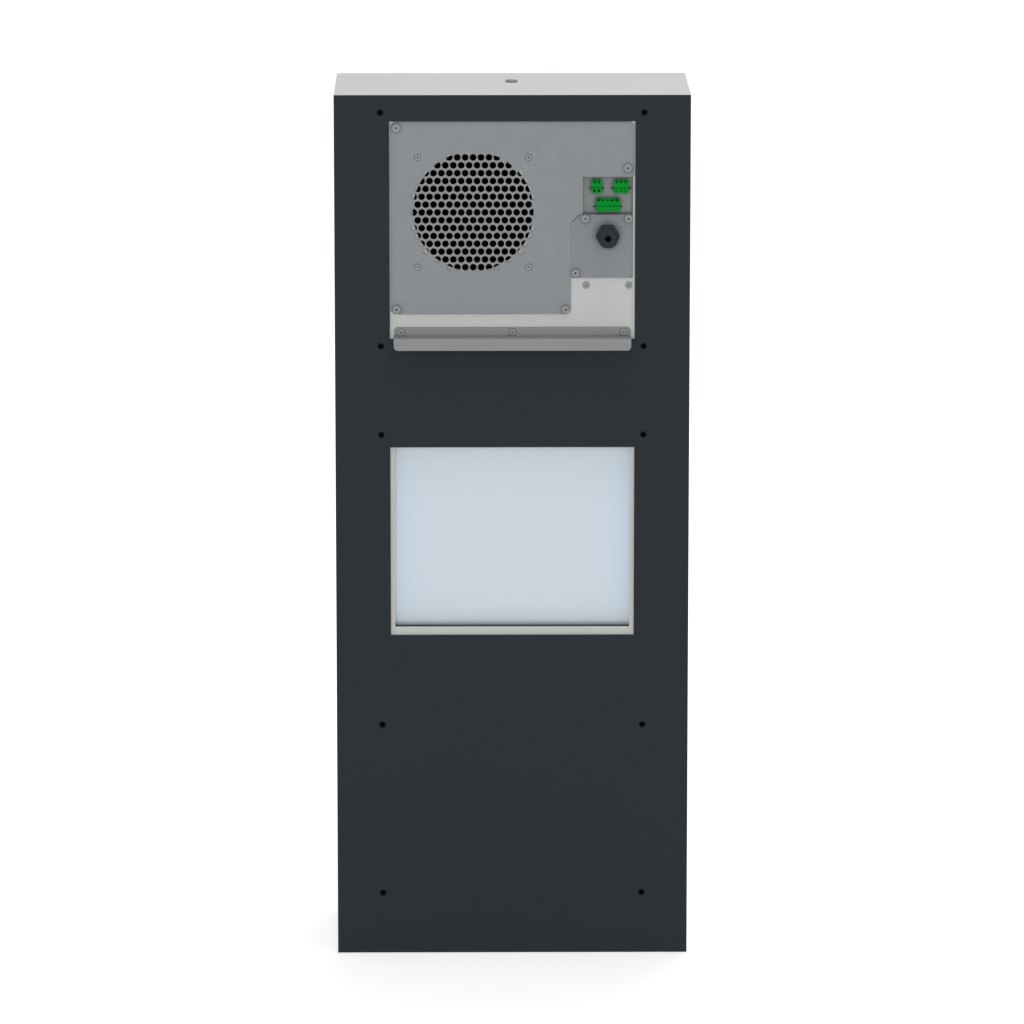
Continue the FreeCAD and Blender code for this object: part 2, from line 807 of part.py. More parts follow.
def threaded_bushes():
    """Blind-rivet bushes in the back wall that take the fixing bolts."""
    bushes = []
    end = back_y + bush_length
    for x, z in bolt_places():
        sleeve = rod_y(x, z, bush_radius, back_y, end)
        bushes.append(sleeve.cut(rod_y(x, z, bush_bore_radius, back_y - cut_past, end + cut_past)))
    return Part.makeCompound(bushes)


def lifting_bush():
    """Threaded bush in the top wall for a lifting eye."""
    low = case_height - lift_bush_length
    bush = rod_z(0, lift_y, lift_bush_radius, low, case_height)
    return bush.cut(rod_z(0, lift_y, lift_thread_radius + pin_gap, low - cut_past, case_height + cut_past))


def lifting_screw():
    """Low button-head screw that closes the lifting bush."""
    head = rod_z(0, lift_y, lift_head_radius, case_height, case_height + lift_head_height)
    head = head.makeFillet(lift_head_round, edges_on_z(head, case_height + lift_head_height))
    return head.fuse(rod_z(0, lift_y, lift_thread_radius, case_height - lift_screw_length, case_height))


def gland_body():
    """Hexagonal body of the cable gland, with its neck outside and its thread inside."""
    base_y = plate_face_y
    hexagon = hex_y(gland_x, gland_z, gland_flats, base_y - gland_hex_height, base_y)
    neck_end = base_y - gland_hex_height - gland_neck_length
    neck = rod_y(gland_x, gland_z, gland_neck_radius, neck_end, base_y)
    thread_end = inside_y + locknut_height + gland_thread_tail
    thread = rod_y(gland_x, gland_z, gland_thread_radius, base_y, thread_end)
    bore = rod_y(gland_x, gland_z, gland_neck_bore, neck_end - cut_past, thread_end + cut_past)
    return hexagon.fuse([neck, thread]).cut(bore).removeSplitter()


def gland_dome_nut():
    """Nut that squeezes the seal: a hexagon with rounded corners behind a round dome."""
    rear = plate_face_y - gland_hex_height - gland_nut_gap
    front = plate_face_y - gland_reach
    hex_front = rear - gland_nut_hex
    corner = gland_flats / math.sqrt(3)
    collar = rod_y(gland_x, gland_z, corner, hex_front, rear)
    collar = collar.makeFillet(corner - gland_dome_radius, edges_on_y(collar, hex_front))
    hexagon = hex_y(gland_x, gland_z, gland_flats, hex_front, rear).common(collar)
    dome = rod_y(gland_x, gland_z, gland_dome_radius, front, rear)
    nut = hexagon.fuse(dome.makeFillet(gland_dome_round, edges_on_y(dome, front)))
    socket_end = plate_face_y - gland_hex_height - gland_neck_length - gland_squeeze
    socket = rod_y(gland_x, gland_z, gland_neck_radius + pin_gap, socket_end, rear + cut_past)
    mouth = rod_y(gland_x, gland_z, gland_mouth_radius, front - cut_past, rear)
    return nut.cut([socket, mouth]).removeSplitter()


def gland_seal():
    """Rubber sleeve inside the gland's neck, pressed by the dome nut."""
    neck_end = plate_face_y - gland_hex_height - gland_neck_length
    front = neck_end - gland_squeeze + fit_gap / 2
    rear = neck_end + gland_seal_depth
    sleeve = rod_y(gland_x, gland_z, gland_neck_bore - fit_gap / 2, front, rear)
    return sleeve.cut(rod_y(gland_x, gland_z, gland_seal_bore, front - cut_past, rear + cut_past))


def gland_locknut():
    """Hexagonal nut on the gland's thread inside the control box."""
    rear = inside_y + locknut_height
    nut = hex_y(gland_x, gland_z, gland_flats, inside_y, rear)
    bore = rod_y(gland_x, gland_z, gland_thread_radius + pin_gap, inside_y - cut_past, rear + cut_past)
    return nut.cut(bore)


def nozzle_plate():
    """Square plate with the fan's round throat, held off the inlet plate by spacers."""
    y0 = back_y + nozzle_spacer
    half = nozzle_plate_size / 2
    plate = box(fan_x - half, fan_x + half, y0, y0 + nozzle_plate_thickness, fan_z - half, fan_z + half)
    span = (y0 - cut_past, y0 + nozzle_plate_thickness + cut_past)
    cuts = [rod_y(fan_x, fan_z, fan_throat_radius, *span)]
    cuts += [rod_y(x, z, screw_shank_radius + fit_gap, *span) for x, z in fan_screw_places(fan_screw_spacing)]
    return plate.cut(cuts)


def fan_spacers():
    """Sleeves between the inlet plate and the nozzle plate, one on each fan screw."""
    sleeves = []
    for x, z in fan_screw_places(fan_screw_spacing):
        sleeve = rod_y(x, z, nozzle_spacer_radius, back_y, back_y + nozzle_spacer)
        bore = rod_y(x, z, screw_shank_radius + fit_gap, back_y - cut_past, back_y + nozzle_spacer + cut_past)
        sleeves.append(sleeve.cut(bore))
    return Part.makeCompound(sleeves)


def inner_fan_y():
    """Front and rear planes of the inner fan's frame."""
    start = back_y + nozzle_spacer + nozzle_plate_thickness
    return start, start + fan_depth


def inner_fan_frame():
    """Fan housing: two square flanges, a barrel, and struts to the shaft at the rear."""
    y0, y1 = inner_fan_y()
    half = fan_size / 2
    flanges = [box(fan_x - half, fan_x + half, a, a + fan_flange, fan_z - half, fan_z + half)
               for a in (y0, y1 - fan_flange)]
    barrel = rod_y(fan_x, fan_z, fan_throat_radius + fan_wall, y0, y1)
    bore = rod_y(fan_x, fan_z, fan_throat_radius, y0 - cut_past, y1 + cut_past)
    holes = [rod_y(x, z, screw_shank_radius + pin_gap, y0 - cut_past, y1 + cut_past)
             for x, z in fan_screw_places(fan_screw_spacing)]
    frame = flanges[0].fuse([flanges[1], barrel]).cut([bore] + holes)
    shaft_end = y0 + fan_flange + hub_face + shaft_tip_gap
    hub = spider(fan_x, fan_z, y1 - fan_flange, y1, fan_hub_radius, fan_throat_radius,
                 fan_shaft_radius, shaft_end)
    return frame.fuse(hub).removeSplitter()


def spider(x, z, y0, y1, hub_radius, rim_radius, shaft_radius, shaft_end):
    """Hub disc with straight struts out to a rim, and a shaft that carries a rotor."""
    disc = rod_y(x, z, hub_radius, y0, y1)
    struts = []
    for step in range(strut_count):
        strut = box(x, x + rim_radius + strut_root, y0, y1, z - strut_width / 2, z + strut_width / 2)
        strut.rotate(Vector(x, 0, z), Vector(0, 1, 0), 360 * step / strut_count + strut_turn)
        struts.append(strut)
    shaft = rod_y(x, z, shaft_radius, shaft_end, y1)
    return disc.fuse(struts + [shaft])


def rotor(x, z, y0, y1, hub_radius, tip_radius, count, shaft_radius):
    """Axial fan wheel: a cupped hub with twisted blades, bored for its shaft from the rear."""
    hub = rod_y(x, z, hub_radius, y0, y1)
    hub = hub.makeFillet(hub_edge_radius, edges_on_y(hub, y0))
    middle = (y0 + y1) / 2
    length = y1 - y0
    stations = (
        (hub_radius - blade_overrun, blade_root_angle, blade_root_share),
        (tip_radius + blade_overrun, blade_tip_angle, blade_tip_share),
    )
    blades = []
    for step in range(count):
        sections = []
        for radius, angle, share in stations:
            half_chord = share * length / 2 / math.sin(math.radians(angle))
            sections.append(blade_section(x, z, middle, radius, angle, half_chord))
        blade = Part.makeLoft(sections, True, True)
        blade.rotate(Vector(x, 0, z), Vector(0, 1, 0), 360 * step / count)
        blades.append(blade)
    wheel = hub.fuse(blades)
    wheel = wheel.common(rod_y(x, z, tip_radius, y0, y1))
    bore = rod_y(x, z, shaft_radius + pin_gap, y0 + hub_face, y1 + cut_past)
    return wheel.cut(bore).removeSplitter()


def blade_section(x, z, y, radius, angle, half_chord):
    """A thin slanted strip across a blade at one radius."""
    along = Vector(math.cos(math.radians(angle)), math.sin(math.radians(angle)), 0)
    across = Vector(-along.y, along.x, 0)
    centre = Vector(x, y, z + radius)
    corners = [centre + along * (sx * half_chord) + across * (sy * blade_thickness / 2)
               for sx, sy in ((-1, -1), (1, -1), (1, 1), (-1, 1))]
    return Part.makePolygon(corners + corners[:1])


def inner_fan_rotor():
    """Wheel of the inner fan."""
    y0, y1 = inner_fan_y()
    tip = fan_throat_radius - fan_tip_gap
    return rotor(fan_x, fan_z, y0 + fan_flange, y1 - fan_flange - rotor_gap, fan_hub_radius, tip,
                 fan_blades, fan_shaft_radius)


def partition():
    """Sheet that splits the cabinet's air from the room's air, with a shelf for the drip tray."""
    half = half_width - sheet - fit_gap
    wall = box(-half, half, partition_y, partition_y + sheet, shelf_z, case_height - sheet - fit_gap)
    shelf = box(-half, half, inside_y + fit_gap, partition_y, shelf_z, shelf_z + sheet)
    corners = [e for e in edges_on_y(shelf, inside_y + fit_gap) if abs(e.Length - sheet) < same_place]
    shelf = shelf.makeChamfer(bend_radius, corners)
    span = (partition_y - cut_past, partition_y + sheet + cut_past)
    feed_z = evaporator_tubes()[0][1]
    suction_z = evaporator_tubes()[-1][1]
    cuts = [
        rod_y(-pipe_x, suction_z, pipe_radius + fit_gap, *span),
        rod_y(pipe_x, feed_z, thin_pipe_radius + fit_gap, *span),
        rod_z(drain_x, drain_y, drain_radius + fit_gap, shelf_z - cut_past, shelf_z + sheet + cut_past),
    ]
    return wall.fuse(shelf).cut(cuts).removeSplitter()


def duct_liner():
    """Moulded foam block that leads the cold air from the coil out through the lower window."""
    outside = liner_half_width + liner_wall
    rear = partition_y - fit_gap
    block = box(-outside, outside, inside_y + fit_gap, rear, tray_top_face, liner_top)
    profile = (
        (inside_y - cut_past, tray_top_face - cut_past), (liner_face_y, tray_top_face - cut_past),
        (liner_face_y, outlet_top + liner_slope_rise), (rear - liner_top_edge, liner_top),
        (rear - liner_top_edge, liner_top + cut_past), (inside_y - cut_past, liner_top + cut_past),
    )
    space = profile_bar(profile, -liner_half_width, liner_half_width)
    upright = [e for e in edges_on_y(space, liner_face_y)
               if abs(e.Vertexes[0].X - e.Vertexes[1].X) < same_place]
    pockets = [rod_y(x, z, bush_radius + bush_pocket_gap, back_y, back_y + bush_length + bush_pocket_gap)
               for x, z in bolt_places()]
    duct = block.cut([space.makeFillet(liner_corner, upright)] + pockets)
    lower_edge = [e for e in edges_on_z(duct, tray_top_face) if is_duct_mouth(e)]
    return duct.makeFillet(liner_bottom_round, lower_edge)


def is_duct_mouth(edge):
    """True for a lower edge of the duct liner that faces the air."""
    middle = edge.CenterOfMass
    within = abs(middle.x) < liner_half_width + same_place
    return within and inside_y + fit_gap < middle.y - same_place < liner_face_y


def drip_tray():
    """Shallow dark tray under the duct liner, with a spout for the drain pipe."""
    outside = liner_half_width + liner_wall + fit_gap + tray_wall
    rear = partition_y - fit_gap
    front = inside_y + fit_gap
    tray = box(-outside, outside, front, rear, tray_bottom, tray_top_face + tray_rim)
    space = box(-outside + tray_wall, outside - tray_wall, front - cut_past, rear + cut_past, tray_top_face,
                tray_top_face + tray_rim + cut_past)
    spout = rod_z(drain_x, drain_y, drain_bore, tray_bottom - cut_past, tray_top_face + cut_past)
    return tray.cut([space, spout])


def drain_pipe():
    """Straight pipe that carries condensate from the tray to the base."""
    tube = rod_z(drain_x, drain_y, drain_radius, fit_gap, tray_bottom)
    return tube.cut(rod_z(drain_x, drain_y, drain_bore, -cut_past, tray_bottom + cut_past))


def coil_tubes(y0, y1, z0, z1, columns, rows):
    """Tube centres of a coil in the order that the refrigerant passes them, as (y, z)."""
    places = []
    for column in range(columns):
        y = y1 - (column + 0.5) * (y1 - y0) / columns
        heights = [z0 + (row + 0.5) * (z1 - z0) / rows for row in range(rows)]
        if column % 2:
            heights.reverse()
        places += [(y, z) for z in heights]
    return places


def hairpin(side, start, stop):
    """Half-round bend that joins two tube ends on one side of a coil."""
    near = side * coil_half_width
    away = near + side * (coil_end_plate + coil_bend_stub)
    first = Vector(away, *start)
    last = Vector(away, *stop)
    middle = (first + last) * 0.5 + Vector(side * (last - first).Length / 2, 0, 0)
    edges = [
        Part.LineSegment(Vector(near, *start), first).toShape(),
        Part.Arc(first, middle, last).toShape(),
        Part.LineSegment(last, Vector(near, *stop)).toShape(),
    ]
    ring = Part.Wire(Part.makeCircle(pipe_radius, Vector(near, *start), Vector(side, 0, 0)))
    return Part.Wire(edges).makePipeShell([ring], True, False)


def coil_bends(tubes):
    """The bends of a coil, alternately on its left and its right."""
    sides = [-1 if step % 2 == 0 else 1 for step in range(len(tubes) - 1)]
    bends = [hairpin(side, start, stop) for side, start, stop in zip(sides, tubes, tubes[1:])]
    return Part.makeCompound(bends)


def coil_end_plates(y0, y1, z0, z1, flange_y, tubes):
    """Tube sheets at both ends of a coil, each with a folded flange that fixes it."""
    plates = []
    low = z0 - coil_plate_margin
    high = z1 + coil_plate_margin
    for side in (-1, 1):
        x0, x1 = sorted((side * coil_half_width, side * (coil_half_width + coil_end_plate)))
        plate = box(x0, x1, y0, y1, low, high)
        f0, f1 = sorted((side * coil_half_width, side * (coil_half_width + coil_flange)))
        flange = box(f0, f1, flange_y, flange_y + coil_end_plate, low, high)
        holes = [rod_x(y, z, pipe_radius + pin_gap, x0 - cut_past, x1 + cut_past) for y, z in tubes]
        plates.append(plate.fuse(flange).cut(holes).removeSplitter())
    return Part.makeCompound(plates)


def evaporator_span():
    """Front, rear, bottom and top of the coil that cools the cabinet's air."""
    top = evaporator_bottom + evaporator_height
    return partition_y - evaporator_depth, partition_y, evaporator_bottom, top


def evaporator_tubes():
    """Tube centres of the coil that cools the cabinet's air."""
    return coil_tubes(*evaporator_span(), evaporator_columns, evaporator_rows)


def evaporator_end_plates():
    """Tube sheets of the inner coil, flanged to the partition."""
    return coil_end_plates(*evaporator_span(), partition_y - coil_end_plate, evaporator_tubes())


def condenser_span():
    """Rear, front, bottom and top of the coil that gives heat to the room."""
    return condenser_back, condenser_front, condenser_bottom, condenser_top


def condenser_tubes():
    """Tube centres of the coil that gives heat to the room, from the top down."""
    return coil_tubes(*condenser_span(), 1, condenser_rows)[::-1]


def condenser_end_plates():
    """Tube sheets of the outer coil, flanged to the fan shroud."""
    return coil_end_plates(*condenser_span(), condenser_back, condenser_tubes())


def coil_fins(y0, y1, z0, z1, tubes):
    """Fins of a coil on its straight tubes, between its end plates."""
    runs = [rod_x(y, z, pipe_radius, -coil_half_width, coil_half_width) for y, z in tubes]
    count = int(2 * coil_half_width / fin_pitch)
    starts = [(step + 0.5 - count / 2) * fin_pitch - fin_thickness / 2 for step in range(count)]
    fins = [box(x, x + fin_thickness, y0, y1, z0, z1) for x in starts]
    return runs[0].fuse(runs[1:] + fins).removeSplitter()


def fan_shroud():
    """Sheet behind the condenser, with the outer fan's round throat."""
    half = half_width - sheet - fit_gap
    low = condenser_bottom - shroud_margin
    sheet_metal = box(-half, half, shroud_y, condenser_back, low, condenser_top + shroud_margin)
    span = (shroud_y - cut_past, condenser_back + cut_past)
    cuts = [
        rod_y(0, outer_fan_z, outer_throat_radius, *span),
        rod_y(pipe_x, condenser_tubes()[0][1], pipe_radius + fit_gap, *span),
    ]
    return sheet_metal.cut(cuts)


def outer_fan_bracket():
    """Ring and struts on the shroud that carry the outer fan's motor shaft."""
    y1 = shroud_y
    y0 = y1 - outer_bracket
    ring = rod_y(0, outer_fan_z, outer_throat_radius + outer_ring, y0, y1)
    ring = ring.cut(rod_y(0, outer_fan_z, outer_throat_radius, y0 - cut_past, y1 + cut_past))
    shaft_end = y0 - rotor_gap - outer_rotor_length + hub_face + shaft_tip_gap
    hub = spider(0, outer_fan_z, y0, y1, outer_hub_radius, outer_throat_radius, outer_shaft_radius, shaft_end)
    return ring.fuse(hub).removeSplitter()


def outer_fan_rotor():
    """Wheel of the outer fan."""
    y1 = shroud_y - outer_bracket - rotor_gap
    y0 = y1 - outer_rotor_length
    return rotor(0, outer_fan_z, y0, y1, outer_hub_radius, outer_tip_radius, outer_blades, outer_shaft_radius)


def compressor():
    """Hermetic compressor shell with domed ends on a three-lobed foot plate."""
    x, y, r = compressor_x, compressor_y, compressor_radius
    z0, z1 = compressor_bottom, compressor_top
    shell = rod_z(x, y, r, z0, z1)
    shell = shell.makeFillet(compressor_top_round, edges_on_z(shell, z1))
    shell = shell.makeFillet(compressor_bottom_round, edges_on_z(shell, z0))
    plate_z = z0 - foot_plate
    lobes = [rod_z(fx, fy, foot_radius, plate_z, z0) for fx, fy in foot_places()]
    arms = [foot_arm(fx, fy, plate_z, z0) for fx, fy in foot_places()]
    return shell.fuse(lobes + arms).removeSplitter()


def foot_places():
    """Centres of the compressor's three rubber feet."""
    turns = [math.radians(foot_turn + 360 * step / foot_count) for step in range(foot_count)]
    reach = compressor_foot_circle
    return [(compressor_x + reach * math.cos(a), compressor_y + reach * math.sin(a)) for a in turns]


def foot_arm(fx, fy, z0, z1):
    """Flat arm of the foot plate from the compressor's axis to one foot."""
    arm = box(0, compressor_foot_circle, -foot_radius, foot_radius, z0, z1)
    turn = math.degrees(math.atan2(fy - compressor_y, fx - compressor_x))
    arm.rotate(Vector(0, 0, 0), Vector(0, 0, 1), turn)
    arm.translate(Vector(compressor_x, compressor_y, 0))
    return arm


def compressor_feet():
    """Rubber feet between the base and the compressor's foot plate."""
    feet = []
    for fx, fy in foot_places():
        profile = (
            (0, sheet), (foot_radius, sheet), (foot_radius, sheet + foot_flange_height),
            (foot_waist_radius, sheet + foot_waist_height), (foot_top_radius, sheet + foot_height),
            (0, sheet + foot_height),
        )
        feet.append(turned_z(profile, fx, fy))
    return Part.makeCompound(feet)


def accumulator_x():
    """Axis of the accumulator, left of the compressor."""
    return compressor_x - compressor_radius - accumulator_gap - accumulator_radius


def accumulator():
    """Suction accumulator with the elbow that joins it to the compressor."""
    x, y, r = accumulator_x(), compressor_y, accumulator_radius
    z0 = compressor_bottom + accumulator_rise
    z1 = accumulator_top()
    shell = rod_z(x, y, r, z0, z1)
    shell = shell.makeFillet(accumulator_round, edges_on_z(shell, z0) + edges_on_z(shell, z1))
    elbow_z = z0 - accumulator_elbow
    points = [(x, y, z0 + accumulator_stub), (x, y, elbow_z), (compressor_x - compressor_radius, y, elbow_z)]
    elbow = pipe(points, pipe_radius, pipe_bend)
    return shell.fuse(elbow).removeSplitter()


def accumulator_top():
    """Height of the accumulator's inlet."""
    return compressor_top - accumulator_drop


def suction_pipe():
    """Gas line from the evaporator through the partition to the accumulator."""
    y, z = evaporator_tubes()[-1]
    run_y = compressor_y
    turn_z = accumulator_top() + suction_turn_rise
    points = [(-coil_half_width, y, z), (-pipe_x, y, z), (-pipe_x, run_y, z), (-pipe_x, run_y, turn_z),
              (accumulator_x(), run_y, turn_z), (accumulator_x(), run_y, accumulator_top())]
    return pipe(points, pipe_radius, pipe_bend)


def discharge_pipe():
    """Hot-gas line from the compressor up to the condenser."""
    coil_y, z = condenser_tubes()[0]
    x = compressor_x + discharge_offset
    y = compressor_y + discharge_offset
    turn_z = compressor_top + discharge_turn_rise
    points = [(x, y, compressor_top), (x, y, turn_z), (pipe_x, y, turn_z), (pipe_x, y, z),
              (pipe_x, coil_y, z), (coil_half_width, coil_y, z)]
    return pipe(points, pipe_radius, pipe_bend)


def drier_top():
    """Height of the filter drier's upper end."""
    return compressor_top + drier_rise


def liquid_line():
    """Line from the condenser's outlet down to the filter drier."""
    y, z = condenser_tubes()[-1]
    return pipe([(coil_half_width, y, z), (pipe_x, y, z), (pipe_x, y, drier_top())], pipe_radius, pipe_bend)


def filter_drier():
    """Copper filter drier with coned ends."""
    y = condenser_tubes()[-1][0]
    z1 = drier_top()
    z0 = z1 - drier_length
    profile = ((0, z0), (pipe_radius, z0), (drier_radius, z0 + drier_cone), (drier_radius, z1 - drier_cone),
               (pipe_radius, z1), (0, z1))
    return turned_z(profile, pipe_x, y)


def expansion_line():
    """Thin line from the filter drier back through the partition to the evaporator."""
    coil_y = condenser_tubes()[-1][0]
    feed_y, feed_z = evaporator_tubes()[0]
    start_z = drier_top() - drier_length
    turn_z = start_z - expansion_turn_drop
    run_y = partition_y + sheet + expansion_wall_gap
    points = [(pipe_x, coil_y, start_z), (pipe_x, coil_y, turn_z), (pipe_x, run_y, turn_z),
              (pipe_x, run_y, feed_z), (pipe_x, feed_y, feed_z), (coil_half_width, feed_y, feed_z)]
    return pipe(points, thin_pipe_radius, thin_pipe_bend)


def control_box():
    """Sheet box behind the connector panel, with a front frame and a screw tab."""
    x0 = panel_left - box_side
    x1 = gland_plate_right + box_side
    z0 = panel_bottom - box_side
    z1 = panel_top + box_top_side
    y0 = inside_y
    y1 = inside_y + box_depth
    t = box_sheet
    shell = box(x0, x1, y0, y1, z0, z1).cut(box(x0 + t, x1 - t, y0 + t, y1 - t, z0 + t, z1 - t))
    edge = box_frame_edge
    opening = box(panel_left - fit_gap, gland_plate_right + fit_gap, y0 - cut_past, y0 + box_sheet + cut_past,
                  panel_bottom + edge, panel_top - edge)
    tab = box(x0, x1, y0, y0 + box_sheet, z0 - box_tab, z0)
    span = (y0 - cut_past, y0 + box_sheet + cut_past)
    cuts = [
        opening,
        screw_holes(box_screws, small_shank_radius + pin_gap, *span),
        screw_holes(panel_screws, screw_shank_radius + fit_gap, *span),
    ]
    return shell.fuse(tab).cut(cuts).removeSplitter()


def control_board():
    """Circuit board that the pin headers stand on."""
    y0 = connector_y + header_depth
    x0 = panel_left - box_side + box_sheet + fit_gap
    x1 = gland_plate_right + box_side - box_sheet - fit_gap
    lowest = min(rise for poles, x, rise in terminals)
    return box(x0, x1, y0, y0 + board_thickness, upper_cutout_bottom + lowest - board_margin,
               panel_top + box_top_side - box_sheet - fit_gap)


def save(name, shape):
    """Writes one sub-part and stops the build if it isn't sound."""
    if not shape.isValid() or not shape.Solids:
        raise RuntimeError(f"{name} is not a sound solid")
    shape.exportStep(f"parts/{name}.step")


def main():
    os.makedirs("parts", exist_ok=True)
    pieces = {
        "chassis_tray": chassis_tray(),
        "front_cover": front_cover(),
        "cover_screws": Part.makeCompound([cover_screw(side, z) for side, z in cover_screw_places()]),
        "mounting_gasket": mounting_gasket(),
        "threaded_bushes": threaded_bushes(),
        "lifting_bush": lifting_bush(),
        "lifting_screw": lifting_screw(),
        "inlet_plate": inlet_plate(),
        "plate_screws": screw_group(wall_screws + panel_screws, plate_face_y, screw_head_radius,
                                    screw_head_height, screw_shank_radius, screw_length),
        "fan_screws": Part.makeCompound([fan_screw(x, z) for x, z in fan_screw_places(fan_screw_spacing)]),
        "fan_spacers": fan_spacers(),
        "nozzle_plate": nozzle_plate(),
        "inner_fan_frame": inner_fan_frame(),
        "inner_fan_rotor": inner_fan_rotor(),
        "gland_plate": gland_plate(),
        "connector_panel": connector_panel(),
        "gland_body": gland_body(),
        "gland_dome_nut": gland_dome_nut(),
        "gland_seal": gland_seal(),
        "gland_locknut": gland_locknut(),
        "hook_bracket": hook_bracket(),
        "hook_screws": screw_group(hook_screw_places(), back_y - hook_thickness, small_head_radius,
                                   small_head_height, small_shank_radius, screw_length),
        "box_screws": screw_group(box_screws, back_y, small_head_radius, small_head_height,
                                  small_shank_radius, screw_length),
        "control_box": control_box(),
        "control_board": control_board(),
        "partition": partition(),
        "duct_liner": duct_liner(),
        "drip_tray": drip_tray(),
        "drain_pipe": drain_pipe(),
        "evaporator_fins": coil_fins(*evaporator_span(), evaporator_tubes()),
        "evaporator_bends": coil_bends(evaporator_tubes()),
        "evaporator_end_plates": evaporator_end_plates(),
        "condenser_fins": coil_fins(*condenser_span(), condenser_tubes()),
        "condenser_bends": coil_bends(condenser_tubes()),
        "condenser_end_plates": condenser_end_plates(),
        "fan_shroud": fan_shroud(),
        "outer_fan_bracket": outer_fan_bracket(),
        "outer_fan_rotor": outer_fan_rotor(),
        "compressor": compressor(),
        "compressor_feet": compressor_feet(),
        "accumulator": accumulator(),
        "suction_pipe": suction_pipe(),
        "discharge_pipe": discharge_pipe(),
        "liquid_line": liquid_line(),
        "filter_drier": filter_drier(),
        "expansion_line": expansion_line(),
    }
    for poles, x, rise in terminals:
        z = upper_cutout_bottom + rise
        pieces[f"header_{poles}_pole"] = terminal_header(poles, x, z)
        pieces[f"plug_{poles}_pole"] = terminal_plug(poles, x, z)
    for name, shape in pieces.items():
        save(name, shape)


main()
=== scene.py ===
import math

import bmesh
import bpy
from mathutils import Matrix, Vector


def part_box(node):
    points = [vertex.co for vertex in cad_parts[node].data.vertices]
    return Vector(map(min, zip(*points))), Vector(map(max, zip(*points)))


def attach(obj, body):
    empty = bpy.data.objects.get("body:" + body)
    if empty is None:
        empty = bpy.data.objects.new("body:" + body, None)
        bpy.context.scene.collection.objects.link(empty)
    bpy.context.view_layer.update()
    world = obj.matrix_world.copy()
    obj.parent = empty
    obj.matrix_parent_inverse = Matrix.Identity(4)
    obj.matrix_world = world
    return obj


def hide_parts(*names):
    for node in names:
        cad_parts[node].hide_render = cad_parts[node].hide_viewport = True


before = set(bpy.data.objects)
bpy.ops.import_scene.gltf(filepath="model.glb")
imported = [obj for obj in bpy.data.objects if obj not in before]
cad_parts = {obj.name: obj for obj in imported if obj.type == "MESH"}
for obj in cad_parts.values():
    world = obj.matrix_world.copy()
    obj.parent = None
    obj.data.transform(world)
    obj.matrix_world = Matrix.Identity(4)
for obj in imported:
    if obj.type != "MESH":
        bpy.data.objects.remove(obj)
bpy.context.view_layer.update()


# Casing: a folded steel tray and a deep-edged cover that slides over its lip, both sprayed in light
# grey powder. The cover's louvres are pressed out of the same sheet.
mm = 0.001
# Rays for the shade painted into holes, slots and corners.
painted_shade_samples = 8


def linear(code):
    """A colour written as sRGB hex, as the linear colour that a shader takes."""
    channels = [int(code[start:start + 2], 16) / 255 for start in (1, 3, 5)]
    return [c / 12.92 if c <= 0.04045 else ((c + 0.055) / 1.055) ** 2.4 for c in channels] + [1.0]


def add(tree, kind, inputs, **settings):
    """Adds a node with its settings, its values and its links."""
    node = tree.nodes.new(kind)
    for name, value in settings.items():
        setattr(node, name, value)
    for socket, value in inputs.items():
        if isinstance(value, bpy.types.NodeSocket):
            tree.links.new(value, node.inputs[socket])
        else:
            node.inputs[socket].default_value = value
    return node


def new_finish(name, metallic=0.0, specular=0.5):
    """A node material: it, its tree and the place on the piece in metres."""
    material = bpy.data.materials.new(name)
    material.use_nodes = True
    tree = material.node_tree
    shader = tree.nodes["Principled BSDF"]
    shader.inputs["Metallic"].default_value = metallic
    shader.inputs["Specular IOR Level"].default_value = specular
    return material, tree, add(tree, "ShaderNodeTexCoord", {}).outputs["Object"]


def lay(tree, tone, dark, light, grain, smooth, rough, depth, painted_shade_reach=0.0):
    """Shades a finish between two colours by its tone, roughens and raises it by its grain, and paints
    shade into its holes, slots and corners, as far out as its painted-shade reach says."""
    shader = tree.nodes["Principled BSDF"]
    colour = add(tree, "ShaderNodeMixRGB", {"Fac": tone, "Color1": linear(dark), "Color2": linear(light)})
    # Painted shade: an ambient occlusion node darkens the colour within that reach of holes, slots and
    # corners.
    if painted_shade_reach:
        dust = {"Color": colour.outputs["Color"], "Distance": painted_shade_reach}
        colour = add(tree, "ShaderNodeAmbientOcclusion", dust, samples=painted_shade_samples)
    gloss = add(tree, "ShaderNodeMapRange", {"Value": grain, "To Min": smooth, "To Max": rough})
    relief = add(tree, "ShaderNodeBump", {"Height": grain, "Strength": 1.0, "Distance": depth})
    tree.links.new(colour.outputs["Color"], shader.inputs["Base Color"])
    tree.links.new(gloss.outputs["Result"], shader.inputs["Roughness"])
    tree.links.new(relief.outputs["Normal"], shader.inputs["Normal"])


def paint(material, *names):
    """Gives CAD nodes a finish."""
    for name in names:
        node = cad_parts[name]
        if not node.material_slots:
            node.data.materials.append(material)
        for slot in node.material_slots:
            slot.material = material


# Polyester powder coat: a faint orange peel softens the reflections. The peel is drawn 2.5 mm wide, about
# three times its real size, so that it shows. Shade is painted into its seams and corners, 0.4 mm out.
peel_width, cloud_width = 2.5 * mm, 180 * mm
powder_coat, tree, place = new_finish("powder_coat_light_grey", specular=0.3)
peel = add(tree, "ShaderNodeTexNoise", {"Vector": place, "Scale": 1 / peel_width, "Detail": 3.0})
cloud = add(tree, "ShaderNodeTexNoise", {"Vector": place, "Scale": 1 / cloud_width, "Detail": 2.0})
lay(tree, cloud.outputs["Fac"], "#C9CBC8", "#CDCFCC", peel.outputs["Fac"],
    smooth=0.55, rough=0.66, depth=0.01 * mm, painted_shade_reach=0.4 * mm)
paint(powder_coat, "chassis_tray", "front_cover")
